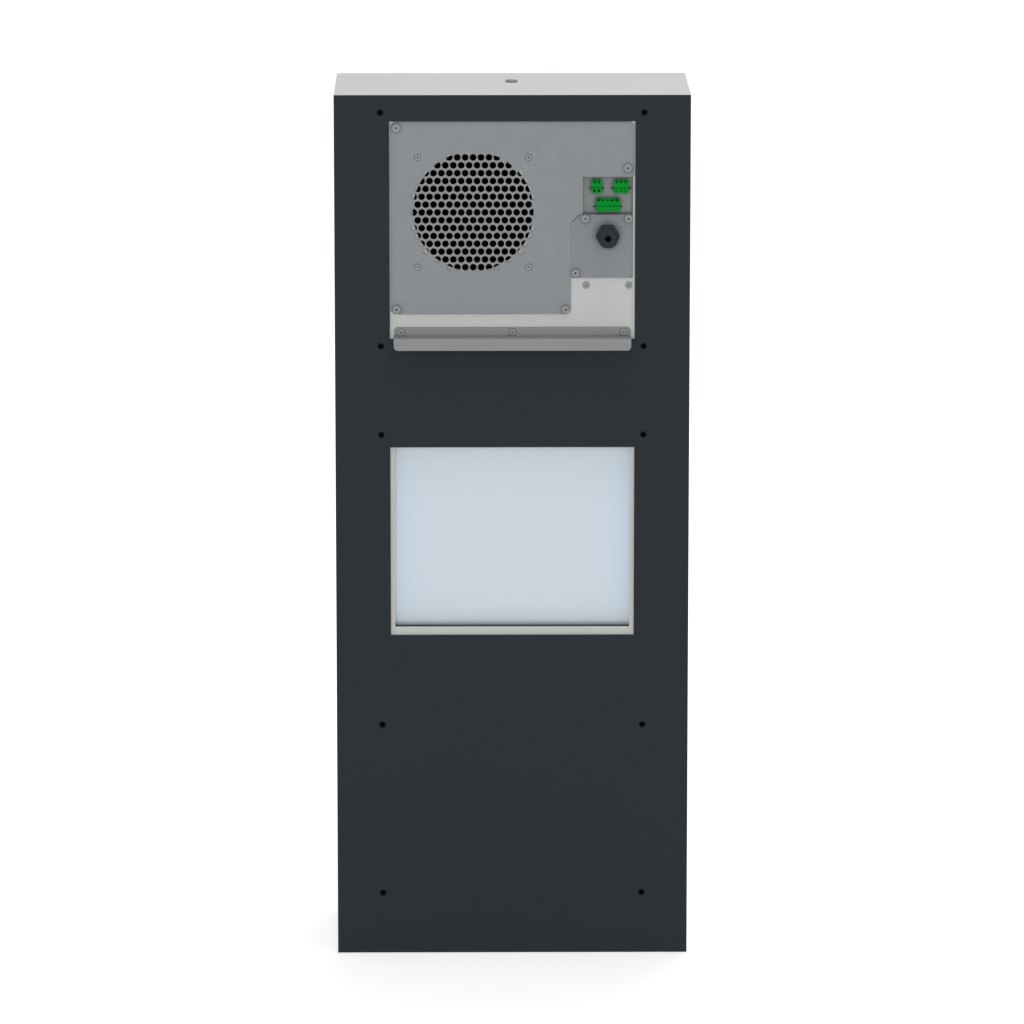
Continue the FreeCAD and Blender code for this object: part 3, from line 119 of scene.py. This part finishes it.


# Fixing bushes: blind steel sleeves riveted into the back wall, with an M6 thread inside, drawn at about
# half its real depth. Zinc plate passivated black, with shade painted into the bores 8 mm out, makes the
# gasket's holes look dark.
grit_width, bloom_width = 0.8 * mm, 4 * mm
black_zinc, tree, place = new_finish("black_passivated_zinc", specular=0.1)
grit = add(tree, "ShaderNodeTexNoise", {"Vector": place, "Scale": 1 / grit_width, "Detail": 2.0})
bloom = add(tree, "ShaderNodeTexNoise", {"Vector": place, "Scale": 1 / bloom_width, "Detail": 2.0})
lay(tree, bloom.outputs["Fac"], "#24282B", "#2A2E31", grit.outputs["Fac"],
    smooth=0.5, rough=0.62, depth=0.004 * mm, painted_shade_reach=8 * mm)

bush_radius, bush_length, bush_floor = 4.5 * mm, 15 * mm, 1.2 * mm
thread_crest, thread_root, thread_pitch = 2.5 * mm, 2.75 * mm, 1 * mm
mouth_radius, mouth_depth = 2.9 * mm, 0.5 * mm
turn_steps = 24
weld_gap = 0.001 * mm
crease_angle = math.radians(32)


def spots(name):
    """Centres of the separate solids of a CAD node, as (x, z) in metres."""
    shape = bmesh.new()
    shape.from_mesh(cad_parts[name].data)
    bmesh.ops.remove_doubles(shape, verts=shape.verts, dist=weld_gap)
    left = set(shape.verts)
    places = []
    while left:
        island, reached = [], [left.pop()]
        while reached:
            vert = reached.pop()
            island.append(vert.co.copy())
            near = {edge.other_vert(vert) for edge in vert.link_edges} & left
            left -= near
            reached += near
        across = [point.x for point in island]
        up = [point.z for point in island]
        places.append(((min(across) + max(across)) / 2, (min(up) + max(up)) / 2))
    shape.free()
    return sorted(places)


def turned(profile):
    """A shape turned about Z from a profile of (radius, height) that starts and ends on the axis."""
    shape = bmesh.new()
    verts = [shape.verts.new((radius, 0, height)) for radius, height in profile]
    edges = [shape.edges.new(pair) for pair in zip(verts, verts[1:])]
    bmesh.ops.spin(shape, geom=verts + edges, axis=(0, 0, 1), cent=(0, 0, 0), angle=math.tau,
                   steps=turn_steps, use_merge=True)
    bmesh.ops.remove_doubles(shape, verts=shape.verts, dist=weld_gap)
    return shape


def as_object(name, shape):
    """A shape as an object in the scene."""
    mesh = bpy.data.meshes.new(name)
    shape.to_mesh(mesh)
    shape.free()
    made = bpy.data.objects.new(name, mesh)
    bpy.context.scene.collection.objects.link(made)
    return made


def hand_over(name, shape, node, slot, *finishes):
    """A shape as a finished piece of the casing in the place of a CAD node, smooth but for its edges."""
    for edge in shape.edges:
        edge.smooth = edge.is_manifold and edge.calc_face_angle() < crease_angle
    for face in shape.faces:
        face.smooth = True
    made = as_object(name, shape)
    for finish in finishes:
        made.data.materials.append(finish)
    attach(made, "casing")
    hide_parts(node)


def fitted_set(name, pattern, node, seat, slot, *finishes):
    """Copies of a shape where a CAD node has its solids, with its Z pointing out of a seat on the back."""
    bmesh.ops.recalc_face_normals(pattern, faces=pattern.faces)
    template = bpy.data.meshes.new(name)
    pattern.to_mesh(template)
    pattern.free()
    group = bmesh.new()
    for x, z in spots(node):
        before = len(group.verts)
        group.from_mesh(template)
        group.verts.ensure_lookup_table()
        outward = Matrix.Translation((x, seat, z)) @ Matrix.Rotation(math.radians(90), 4, "X")
        bmesh.ops.transform(group, matrix=outward, verts=group.verts[before:])
    bpy.data.meshes.remove(template)
    hand_over(name, group, node, slot, *finishes)


wall_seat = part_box("mounting_gasket")[1].y
bore_end = bush_floor - bush_length
profile = [(0, bore_end), (thread_crest, bore_end)]
for ridge in range(int((bush_length - bush_floor - mouth_depth) / thread_pitch)):
    height = bore_end + ridge * thread_pitch
    profile += [(thread_root, height + thread_pitch / 2), (thread_crest, height + thread_pitch)]
profile += [(thread_root, -mouth_depth), (mouth_radius, 0), (bush_radius, 0), (bush_radius, -bush_length),
            (0, -bush_length)]
fitted_set("bush_set", turned(profile), "threaded_bushes", wall_seat, "bush_black_zinc", black_zinc)


# Lifting point: a low-headed screw moulded in grey plastic, which closes the lifting bush in the top.
# Its skin is dull, with a fine grain.
grain_width, haze_width = 0.6 * mm, 5 * mm
cap_plastic, tree, place = new_finish("moulded_plastic_grey", specular=0.3)
grain = add(tree, "ShaderNodeTexNoise", {"Vector": place, "Scale": 1 / grain_width, "Detail": 2.0})
haze = add(tree, "ShaderNodeTexNoise", {"Vector": place, "Scale": 1 / haze_width, "Detail": 2.0})
lay(tree, haze.outputs["Fac"], "#787B7D", "#808385", grain.outputs["Fac"],
    smooth=0.5, rough=0.6, depth=0.01 * mm)
paint(cap_plastic, "lifting_screw")


# Compressor and accumulator: drawn steel shells, welded round and dipped in black enamel, which dries
# glossy and a little rippled. The compressor stands on moulded rubber feet.
ripple_width, dust_width = 7 * mm, 60 * mm
black_enamel, tree, place = new_finish("black_enamel")
ripple = add(tree, "ShaderNodeTexNoise", {"Vector": place, "Scale": 1 / ripple_width, "Detail": 2.0})
dust = add(tree, "ShaderNodeTexNoise", {"Vector": place, "Scale": 1 / dust_width, "Detail": 4.0})
lay(tree, dust.outputs["Fac"], "#17191A", "#222425", ripple.outputs["Fac"],
    smooth=0.25, rough=0.36, depth=0.03 * mm)
paint(black_enamel, "compressor", "accumulator")

# Moulded black rubber: matt, with a faint bloom. The cable gland's seal is made of it too.
grain_width, bloom_width = 0.9 * mm, 12 * mm
rubber, tree, place = new_finish("moulded_black_rubber", specular=0.2)
grain = add(tree, "ShaderNodeTexNoise", {"Vector": place, "Scale": 1 / grain_width, "Detail": 2.0})
bloom = add(tree, "ShaderNodeTexNoise", {"Vector": place, "Scale": 1 / bloom_width, "Detail": 3.0})
lay(tree, bloom.outputs["Fac"], "#101011", "#181819", grain.outputs["Fac"],
    smooth=0.75, rough=0.88, depth=0.02 * mm)
paint(rubber, "compressor_feet", "gland_seal")


# Refrigerant lines: drawn copper tube, bent on a former and brazed, with a spun copper filter drier.
# Handling leaves it mottled between bright and brown.
streak_width, tarnish_width = 3 * mm, 35 * mm
copper, tree, place = new_finish("drawn_copper", metallic=1.0)
streak = add(tree, "ShaderNodeTexNoise", {"Vector": place, "Scale": 1 / streak_width, "Detail": 3.0})
tarnish = add(tree, "ShaderNodeTexNoise", {"Vector": place, "Scale": 1 / tarnish_width, "Detail": 4.0})
lay(tree, tarnish.outputs["Fac"], "#A8653F", "#CF8F69", streak.outputs["Fac"],
    smooth=0.24, rough=0.42, depth=0.01 * mm)
paint(copper, "suction_pipe", "discharge_pipe", "liquid_line", "expansion_line", "filter_drier",
      "evaporator_bends", "condenser_bends")


# Sheet parts: pre-galvanised steel, cut and folded bare, so that its dull zinc shows, with barely seen
# crystals about 14 mm wide. Shade is painted into the plates, the hook and the connector panel at edges,
# holes and screws. The gland plate takes a darker copy of the sheet as painted shade round the gland, the
# connector panel is a little darker too, and the nozzle plate behind the perforation takes a much lighter
# copy as painted light against the shade behind the holes.
crystal_width, grit_width = 14 * mm, 1.5 * mm
for name, dark, light, painted_shade_reach, nodes in (
        ("galvanised_steel_sheet", "#888A8C", "#8A8C8E", 0.0,
         ("fan_shroud", "evaporator_end_plates", "condenser_end_plates", "control_box")),
        ("galvanised_steel_plate", "#84878A", "#86898B", 8 * mm, ("inlet_plate",)),
        # Painted shade: a darker copy of the sheet for the gland plate.
        ("galvanised_steel_gland_plate_painted_shade", "#808385", "#828587", 8 * mm, ("gland_plate",)),
        ("galvanised_steel_hook", "#858789", "#87898B", 1.5 * mm, ("hook_bracket",)),
        ("galvanised_steel_panel", "#828587", "#848789", 4 * mm, ("connector_panel",)),
        # Painted light: a much lighter copy of the sheet for the nozzle plate.
        ("galvanised_steel_painted_light", "#BBBEC0", "#BFC2C4", 0.0, ("nozzle_plate",))):
    galvanised, tree, place = new_finish(name, metallic=0.4, specular=0.3)
    crystal = add(tree, "ShaderNodeTexVoronoi", {"Vector": place, "Scale": 1 / crystal_width})
    shade = add(tree, "ShaderNodeSeparateColor", {"Color": crystal.outputs["Color"]})
    grit = add(tree, "ShaderNodeTexNoise", {"Vector": place, "Scale": 1 / grit_width, "Detail": 3.0})
    lay(tree, shade.outputs["Red"], dark, light, grit.outputs["Fac"],
        smooth=0.58, rough=0.66, depth=0.003 * mm, painted_shade_reach=painted_shade_reach)
    paint(galvanised, *nodes)


# Inlet plate: galvanised sheet with staggered holes in a round field before the inner fan. The punch
# leaves them a little wider than drawn, with thin webs between. The copy takes the drawn plate's corners
# and faces without its stored normals.
hole_pitch, field_radius = 8.89 * mm, 70 * mm
drawn_radius, punched_radius, radius_slack = 3.6 * mm, 3.85 * mm, 0.05 * mm
fan_corners = spots("fan_screws")
fan_x = sum(x for x, z in fan_corners) / len(fan_corners)
fan_z = sum(z for x, z in fan_corners) / len(fan_corners)
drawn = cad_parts["inlet_plate"].data
punched = bmesh.new()
corners = [punched.verts.new(vert.co) for vert in drawn.vertices]
for polygon in drawn.polygons:
    punched.faces.new([corners[index] for index in polygon.vertices])
bmesh.ops.remove_doubles(punched, verts=punched.verts, dist=weld_gap)
for vert in punched.verts:
    row = round((vert.co.z - fan_z) / hole_pitch)
    stagger = 0.0 if row % 2 else 0.5
    column = round((vert.co.x - fan_x) / hole_pitch - stagger) + stagger
    hole = Vector((fan_x + column * hole_pitch, vert.co.y, fan_z + row * hole_pitch))
    spoke = vert.co - hole
    in_field = math.hypot(column, row) * hole_pitch < field_radius
    if in_field and abs(spoke.length - drawn_radius) < radius_slack:
        vert.co = hole + spoke * (punched_radius / drawn_radius)
hand_over("inlet_plate_punched", punched, "inlet_plate", "galvanised_sheet",
          bpy.data.materials["galvanised_steel_plate"])


# Coil fins: thin bare aluminium strips pressed on the tubes of both coils. Rolling leaves a faint haze
# on them.
roll_width, haze_width = 2 * mm, 40 * mm
bare_aluminium, tree, place = new_finish("bare_aluminium_fin", metallic=1.0)
roll = add(tree, "ShaderNodeTexNoise", {"Vector": place, "Scale": 1 / roll_width, "Detail": 3.0})
haze = add(tree, "ShaderNodeTexNoise", {"Vector": place, "Scale": 1 / haze_width, "Detail": 2.0})
lay(tree, haze.outputs["Fac"], "#C2C4C6", "#CDCFD1", roll.outputs["Fac"],
    smooth=0.3, rough=0.42, depth=0.006 * mm)
paint(bare_aluminium, "evaporator_fins", "condenser_fins")


# Fan frames and partition: metal coated matt black, so that nothing shines behind the perforation.
# The fan wheels are moulded in black plastic.
skin_width, dust_width = 1.6 * mm, 25 * mm
black_coat, tree, place = new_finish("matt_black_coat", specular=0.1)
skin = add(tree, "ShaderNodeTexNoise", {"Vector": place, "Scale": 1 / skin_width, "Detail": 3.0})
dust = add(tree, "ShaderNodeTexNoise", {"Vector": place, "Scale": 1 / dust_width, "Detail": 3.0})
lay(tree, dust.outputs["Fac"], "#060606", "#0A0A0B", skin.outputs["Fac"],
    smooth=0.8, rough=0.92, depth=0.02 * mm)
paint(black_coat, "inner_fan_frame", "outer_fan_bracket", "partition")

# Moulded black plastic: matt from the mould's grain, and darker than the coat.
grain_width, dust_width = 0.9 * mm, 20 * mm
fan_plastic, tree, place = new_finish("moulded_plastic_black", specular=0.03)
grain = add(tree, "ShaderNodeTexNoise", {"Vector": place, "Scale": 1 / grain_width, "Detail": 2.0})
dust = add(tree, "ShaderNodeTexNoise", {"Vector": place, "Scale": 1 / dust_width, "Detail": 3.0})
lay(tree, dust.outputs["Fac"], "#030303", "#060606", grain.outputs["Fac"],
    smooth=0.8, rough=0.9, depth=0.01 * mm)
paint(fan_plastic, "inner_fan_rotor", "outer_fan_rotor")


# Cold-air duct: a block of pale blue-grey bead foam behind the lower window. Moulding leaves it matt,
# with a faint pattern of 4 mm beads.
bead_width, cloud_width = 4 * mm, 90 * mm
bead_foam, tree, place = new_finish("bead_foam_pale_blue", specular=0.1)
bead = add(tree, "ShaderNodeTexVoronoi", {"Vector": place, "Scale": 1 / bead_width}, feature="SMOOTH_F1")
cloud = add(tree, "ShaderNodeTexNoise", {"Vector": place, "Scale": 1 / cloud_width, "Detail": 2.0})
lay(tree, cloud.outputs["Fac"], "#DEEAF4", "#E0ECF6", bead.outputs["Distance"],
    smooth=0.8, rough=0.9, depth=0.02 * mm)
paint(bead_foam, "duct_liner")


# Drip tray and drain: dark slate plastic, vacuum formed and glued under the duct. Its skin is dull, with
# a fine grain.
grain_width, cloud_width = 1.2 * mm, 50 * mm
slate_plastic, tree, place = new_finish("formed_plastic_slate", specular=0.2)
grain = add(tree, "ShaderNodeTexNoise", {"Vector": place, "Scale": 1 / grain_width, "Detail": 2.0})
cloud = add(tree, "ShaderNodeTexNoise", {"Vector": place, "Scale": 1 / cloud_width, "Detail": 2.0})
lay(tree, cloud.outputs["Fac"], "#38434C", "#404B54", grain.outputs["Fac"],
    smooth=0.6, rough=0.7, depth=0.01 * mm)
paint(slate_plastic, "drip_tray", "drain_pipe")


# Screws, spacers and lifting bush: steel under dull zinc plate. The screws of the back have cross
# recesses: pan heads hold the plates, the hook and the control box, flush heads hold the inner fan.
grit_width, bloom_width = 0.8 * mm, 6 * mm
zinc_plate, tree, place = new_finish("zinc_plated_steel", metallic=0.4, specular=0.3)
grit = add(tree, "ShaderNodeTexNoise", {"Vector": place, "Scale": 1 / grit_width, "Detail": 2.0})
bloom = add(tree, "ShaderNodeTexNoise", {"Vector": place, "Scale": 1 / bloom_width, "Detail": 2.0})
lay(tree, bloom.outputs["Fac"], "#85888A", "#898C8E", grit.outputs["Fac"],
    smooth=0.52, rough=0.62, depth=0.003 * mm)
paint(zinc_plate, "lifting_bush", "fan_spacers", "cover_screws")

# Cross recess: painted shade, a darker grey with more shade painted 3 mm out, stands in for the shade in
# it.
grit_width = 0.5 * mm
painted_recess_shade, tree, place = new_finish("painted_shade_in_recess", specular=0.1)
grit = add(tree, "ShaderNodeTexNoise", {"Vector": place, "Scale": 1 / grit_width, "Detail": 2.0})
lay(tree, grit.outputs["Fac"], "#74777A", "#7C7F82", grit.outputs["Fac"],
    smooth=0.7, rough=0.85, depth=0.003 * mm, painted_shade_reach=3 * mm)

grid_cells = 7
arm_cells = 1.5
head_steps = 3
recess_share = 0.6


def cross_topped(radius, depth, reach):
    """A round face with a cross recess of a reach and depth, looking to +Z, and the edge loop round it."""
    head = bmesh.new()
    bmesh.ops.create_grid(head, x_segments=grid_cells, y_segments=grid_cells, size=1.0)
    for vert in head.verts:
        if vert.is_boundary:
            vert.co.normalize()
    cell = 2 / grid_cells
    arm = arm_cells * cell
    cross = []
    for face in head.faces:
        middle = face.calc_center_median()
        if min(abs(middle.x), abs(middle.y)) < cell / 2 and middle.length < arm:
            cross.append(face)
    inner = {vert for face in cross for vert in face.verts}
    bmesh.ops.scale(head, vec=(reach / arm, reach / arm, 1), verts=list(inner))
    rim = [vert for vert in head.verts if vert not in inner]
    bmesh.ops.scale(head, vec=(radius, radius, 1), verts=rim)
    sunk = bmesh.ops.extrude_face_region(head, geom=cross)["geom"]
    bottom = [item for item in sunk if isinstance(item, bmesh.types.BMVert)]
    bmesh.ops.translate(head, vec=(0, 0, -depth), verts=bottom)
    bmesh.ops.delete(head, geom=[face for face in cross if face.is_valid], context="FACES_ONLY")
    # Recess faces take the second finish, which is painted shade.
    for face in head.faces:
        face.material_index = int(any(vert.co.z < 0 for vert in face.verts))
    return head, [edge for edge in head.edges if edge.is_boundary]


def carry(head, loop, scale, drop):
    """Extrudes the open edge loop of a head, scales it about the axis and lowers it."""
    made = bmesh.ops.extrude_edge_only(head, edges=loop)["geom"]
    ring = [item for item in made if isinstance(item, bmesh.types.BMVert)]
    bmesh.ops.scale(head, vec=(scale, scale, 1), verts=ring)
    bmesh.ops.translate(head, vec=(0, 0, -drop), verts=ring)
    return [item for item in made if isinstance(item, bmesh.types.BMEdge)]


def screw(head_radius, crown, head_height, side, shank_radius, length, reach):
    """A cross-recessed screw along Z: a flat crown, a rounded edge above an upright side, and a shank."""
    shape, loop = cross_topped(crown, recess_share * head_height, reach)
    now = crown
    for step in range(1, head_steps + 1):
        turn = math.radians(90 * step / head_steps)
        before = math.radians(90 * (step - 1) / head_steps)
        wide = crown + (head_radius - crown) * math.sin(turn)
        drop = (head_height - side) * (math.cos(before) - math.cos(turn))
        loop = carry(shape, loop, wide / now, drop)
        now = wide
    loop = carry(shape, loop, 1.0, side)
    loop = carry(shape, loop, shank_radius / head_radius, 0)
    loop = carry(shape, loop, 1.0, length)
    bmesh.ops.contextual_create(shape, geom=loop)
    bmesh.ops.translate(shape, vec=(0, 0, head_height), verts=shape.verts)
    return shape


def flush_screw(head_radius, side, cone, shank_radius, length, reach):
    """A cross-recessed countersunk screw along Z: its face is at zero, and an upright edge is above its
    cone."""
    shape, loop = cross_topped(head_radius, cone, reach)
    loop = carry(shape, loop, 1.0, side)
    loop = carry(shape, loop, shank_radius / head_radius, cone)
    loop = carry(shape, loop, 1.0, length)
    bmesh.ops.contextual_create(shape, geom=loop)
    return shape


plate_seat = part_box("inlet_plate")[0].y
hook_thickness, flush_sink = 2 * mm, 0.2 * mm
plate_screw = screw(head_radius=4.45 * mm, crown=4.2 * mm, head_height=2.3 * mm, side=2.1 * mm,
                    shank_radius=2 * mm, length=9 * mm, reach=1.5 * mm)
hook_screw = screw(head_radius=3.95 * mm, crown=3.5 * mm, head_height=2 * mm, side=1.6 * mm,
                   shank_radius=1.75 * mm, length=9 * mm, reach=1.2 * mm)
box_screw = screw(head_radius=3.9 * mm, crown=2.8 * mm, head_height=2 * mm, side=1.4 * mm,
                  shank_radius=1.75 * mm, length=9 * mm, reach=1 * mm)
fan_screw = flush_screw(head_radius=3.4 * mm, side=0.45 * mm, cone=0.85 * mm,
                        shank_radius=2 * mm, length=14.6 * mm, reach=1.2 * mm)
for name, pattern, node, seat in (
        ("plate_screw_set", plate_screw, "plate_screws", plate_seat),
        ("hook_screw_set", hook_screw, "hook_screws", wall_seat - hook_thickness),
        ("box_screw_set", box_screw, "box_screws", wall_seat),
        ("fan_screw_set", fan_screw, "fan_screws", plate_seat + flush_sink)):
    fitted_set(name, pattern, node, seat, "zinc_screw", zinc_plate, painted_recess_shade)


# Control board: glass-fibre sheet under green solder mask, with copper tracks that show as paler lines
# 2.5 mm apart.
track_pitch, weave_width = 2.5 * mm, 1 * mm
solder_mask, tree, place = new_finish("solder_mask_green")
track = add(tree, "ShaderNodeTexVoronoi", {"Vector": place, "Scale": 1 / track_pitch}, distance="MANHATTAN")
weave = add(tree, "ShaderNodeTexNoise", {"Vector": place, "Scale": 1 / weave_width, "Detail": 2.0})
lay(tree, track.outputs["Distance"], "#1E5A3A", "#2F7A50", weave.outputs["Fac"],
    smooth=0.3, rough=0.4, depth=0.01 * mm)
paint(solder_mask, "control_board")


# Terminals: pull-off plugs moulded in green polyamide with a satin skin, on pin headers behind the
# connector panel. The headers take a much darker copy of the green as painted shade for the shade in the
# panel's holes, and shade is painted into the wells and slots of both, 3 mm out.
grain_width, haze_width = 0.7 * mm, 6 * mm
for name, dark, light, nodes in (
        ("moulded_polyamide_green", "#03902C", "#05942F",
         ("plug_2_pole", "plug_3_pole", "plug_5_pole")),
        ("moulded_polyamide_green_painted_shade", "#01240C", "#02280E",
         ("header_2_pole", "header_3_pole", "header_5_pole"))):
    green_polyamide, tree, place = new_finish(name, specular=0.05)
    grain = add(tree, "ShaderNodeTexNoise", {"Vector": place, "Scale": 1 / grain_width, "Detail": 2.0})
    haze = add(tree, "ShaderNodeTexNoise", {"Vector": place, "Scale": 1 / haze_width, "Detail": 2.0})
    lay(tree, haze.outputs["Fac"], dark, light, grain.outputs["Fac"],
        smooth=0.5, rough=0.6, depth=0.01 * mm, painted_shade_reach=3 * mm)
    paint(green_polyamide, *nodes)


# Cable gland: body, domed nut and locknut moulded in dark grey polyamide and screwed together round a
# rubber seal. Their skin is satin, with a fine grain.
grain_width, haze_width = 0.8 * mm, 8 * mm
grey_polyamide, tree, place = new_finish("moulded_polyamide_dark_grey", specular=0.1)
grain = add(tree, "ShaderNodeTexNoise", {"Vector": place, "Scale": 1 / grain_width, "Detail": 2.0})
haze = add(tree, "ShaderNodeTexNoise", {"Vector": place, "Scale": 1 / haze_width, "Detail": 2.0})
lay(tree, haze.outputs["Fac"], "#2A3034", "#2C3236", grain.outputs["Fac"],
    smooth=0.5, rough=0.6, depth=0.02 * mm)
paint(grey_polyamide, "gland_body", "gland_dome_nut", "gland_locknut")


# Mounting gasket: a cut sheet of charcoal closed-cell foam, glued over the whole back. Its cut cells
# are drawn 2 mm wide, about twice their real size, so that they show.
cell_width, cloud_width = 2 * mm, 70 * mm
cell_foam, tree, place = new_finish("closed_cell_foam_charcoal", specular=0.1)
cell = add(tree, "ShaderNodeTexVoronoi", {"Vector": place, "Scale": 1 / cell_width})
cloud = add(tree, "ShaderNodeTexNoise", {"Vector": place, "Scale": 1 / cloud_width, "Detail": 3.0})
lay(tree, cloud.outputs["Fac"], "#30363A", "#31373B", cell.outputs["Distance"],
    smooth=0.88, rough=0.96, depth=0.02 * mm)
paint(cell_foam, "mounting_gasket")


# Studio floor: a wide matt white sheet, a hair below the unit's base. It is lifted to white for the
# camera, less so near the unit, where its shadow lies.
floor_reach, floor_drop, scuff_width = 40.0, 0.5 * mm, 500 * mm
shadow_distance, white_distance = 300 * mm, 1600 * mm
shadow_lift, white_lift = 0.48, 0.69
white = (1, 1, 1, 1)
floor_shape = bmesh.new()
bmesh.ops.create_grid(floor_shape, x_segments=1, y_segments=1, size=floor_reach)
bmesh.ops.translate(floor_shape, vec=(0, 0, -floor_drop), verts=floor_shape.verts)
floor = as_object("floor", floor_shape)
floor_paint, tree, place = new_finish("matt_white_floor", specular=0.0)
scuff = add(tree, "ShaderNodeTexNoise", {"Vector": place, "Scale": 1 / scuff_width, "Detail": 2.0})
tones = {"Color1": linear("#EFEFEF"), "Color2": linear("#F2F2F2")}
shade = add(tree, "ShaderNodeMixRGB", {"Fac": scuff.outputs["Fac"], **tones})
ray = add(tree, "ShaderNodeLightPath", {})
seen = add(tree, "ShaderNodeMath", {0: ray.outputs["Is Camera Ray"], 1: ray.outputs["Is Glossy Ray"]},
           operation="MAXIMUM")
away = add(tree, "ShaderNodeVectorMath", {0: place}, operation="LENGTH")
level = add(tree, "ShaderNodeMapRange", {"Value": away.outputs["Value"],
                                         "From Min": shadow_distance, "From Max": white_distance,
                                         "To Min": shadow_lift, "To Max": white_lift})
lift = add(tree, "ShaderNodeMath", {0: seen.outputs[0], 1: level.outputs["Result"]}, operation="MULTIPLY")
floor_shader = tree.nodes["Principled BSDF"]
floor_shader.inputs["Roughness"].default_value = 1.0
floor_shader.inputs["Emission Color"].default_value = white
tree.links.new(shade.outputs["Color"], floor_shader.inputs["Base Color"])
tree.links.new(lift.outputs[0], floor_shader.inputs["Emission Strength"])
floor.data.materials.append(floor_paint)


# Sky: even and pale, so that the unit is lit alike from all sides. The camera, gloss and glass see it
# as plain white.
sky_light, sky_white = 0.42, 1.0
world = bpy.data.worlds.new("pale_sky")
bpy.context.scene.world = world
world.use_nodes = True
tree = world.node_tree
ray = add(tree, "ShaderNodeLightPath", {})
seen = add(tree, "ShaderNodeMath", {0: ray.outputs["Is Camera Ray"], 1: ray.outputs["Is Glossy Ray"]},
           operation="MAXIMUM")
shown = add(tree, "ShaderNodeMath", {0: seen.outputs[0], 1: ray.outputs["Is Transmission Ray"]},
            operation="MAXIMUM")
level = add(tree, "ShaderNodeMapRange", {"Value": shown.outputs[0],
                                         "To Min": sky_light, "To Max": sky_white})
sky = tree.nodes["Background"]
sky.inputs["Color"].default_value = white
tree.links.new(level.outputs["Result"], sky.inputs["Strength"])


# Soft boxes: square cloth lamps beside the camera, overhead and high behind the unit, all turned to its
# middle. Their sizes are in metres and their powers in watts.
unit_middle = Vector((0, 0, 0.5))


def stand(name, tool, spot, aim):
    """Stands a lamp or the camera at a spot and turns it to an aim."""
    holder = bpy.data.objects.new(name, tool)
    holder.location = spot
    holder.rotation_mode = "QUATERNION"
    holder.rotation_quaternion = (aim - Vector(spot)).to_track_quat("-Z", "Y")
    bpy.context.scene.collection.objects.link(holder)
    return holder


for name, spot, size, power in (("front_soft_box", (-0.4, -7.9, 2.15), 1.8, 180),
                                ("top_soft_box", (0.3, -0.8, 4.2), 1.6, 27),
                                ("rear_soft_box", (0.6, 2.7, 3.7), 2.4, 40)):
    lamp = bpy.data.lights.new(name, "AREA")
    lamp.shape = "SQUARE"
    lamp.size = size
    lamp.energy = power
    stand(name, lamp, spot, unit_middle)


# Camera: a long lens, a little above the unit and a hair to its left, square on to the gasketed side.
# Its place and aim are solved from the edges of that side in the photo.
camera_spot = (-57.6 * mm, -7174.5 * mm, 1900.8 * mm)
camera_aim = Vector((-0.38 * mm, -107.5 * mm, 515.08 * mm))
lens = bpy.data.cameras.new("camera")
lens.sensor_width = 36.0
lens.lens = 223.49
lens.clip_end = 100.0
bpy.context.scene.camera = stand("camera", lens, camera_spot, camera_aim)
bpy.context.scene.view_settings.view_transform = "Standard"
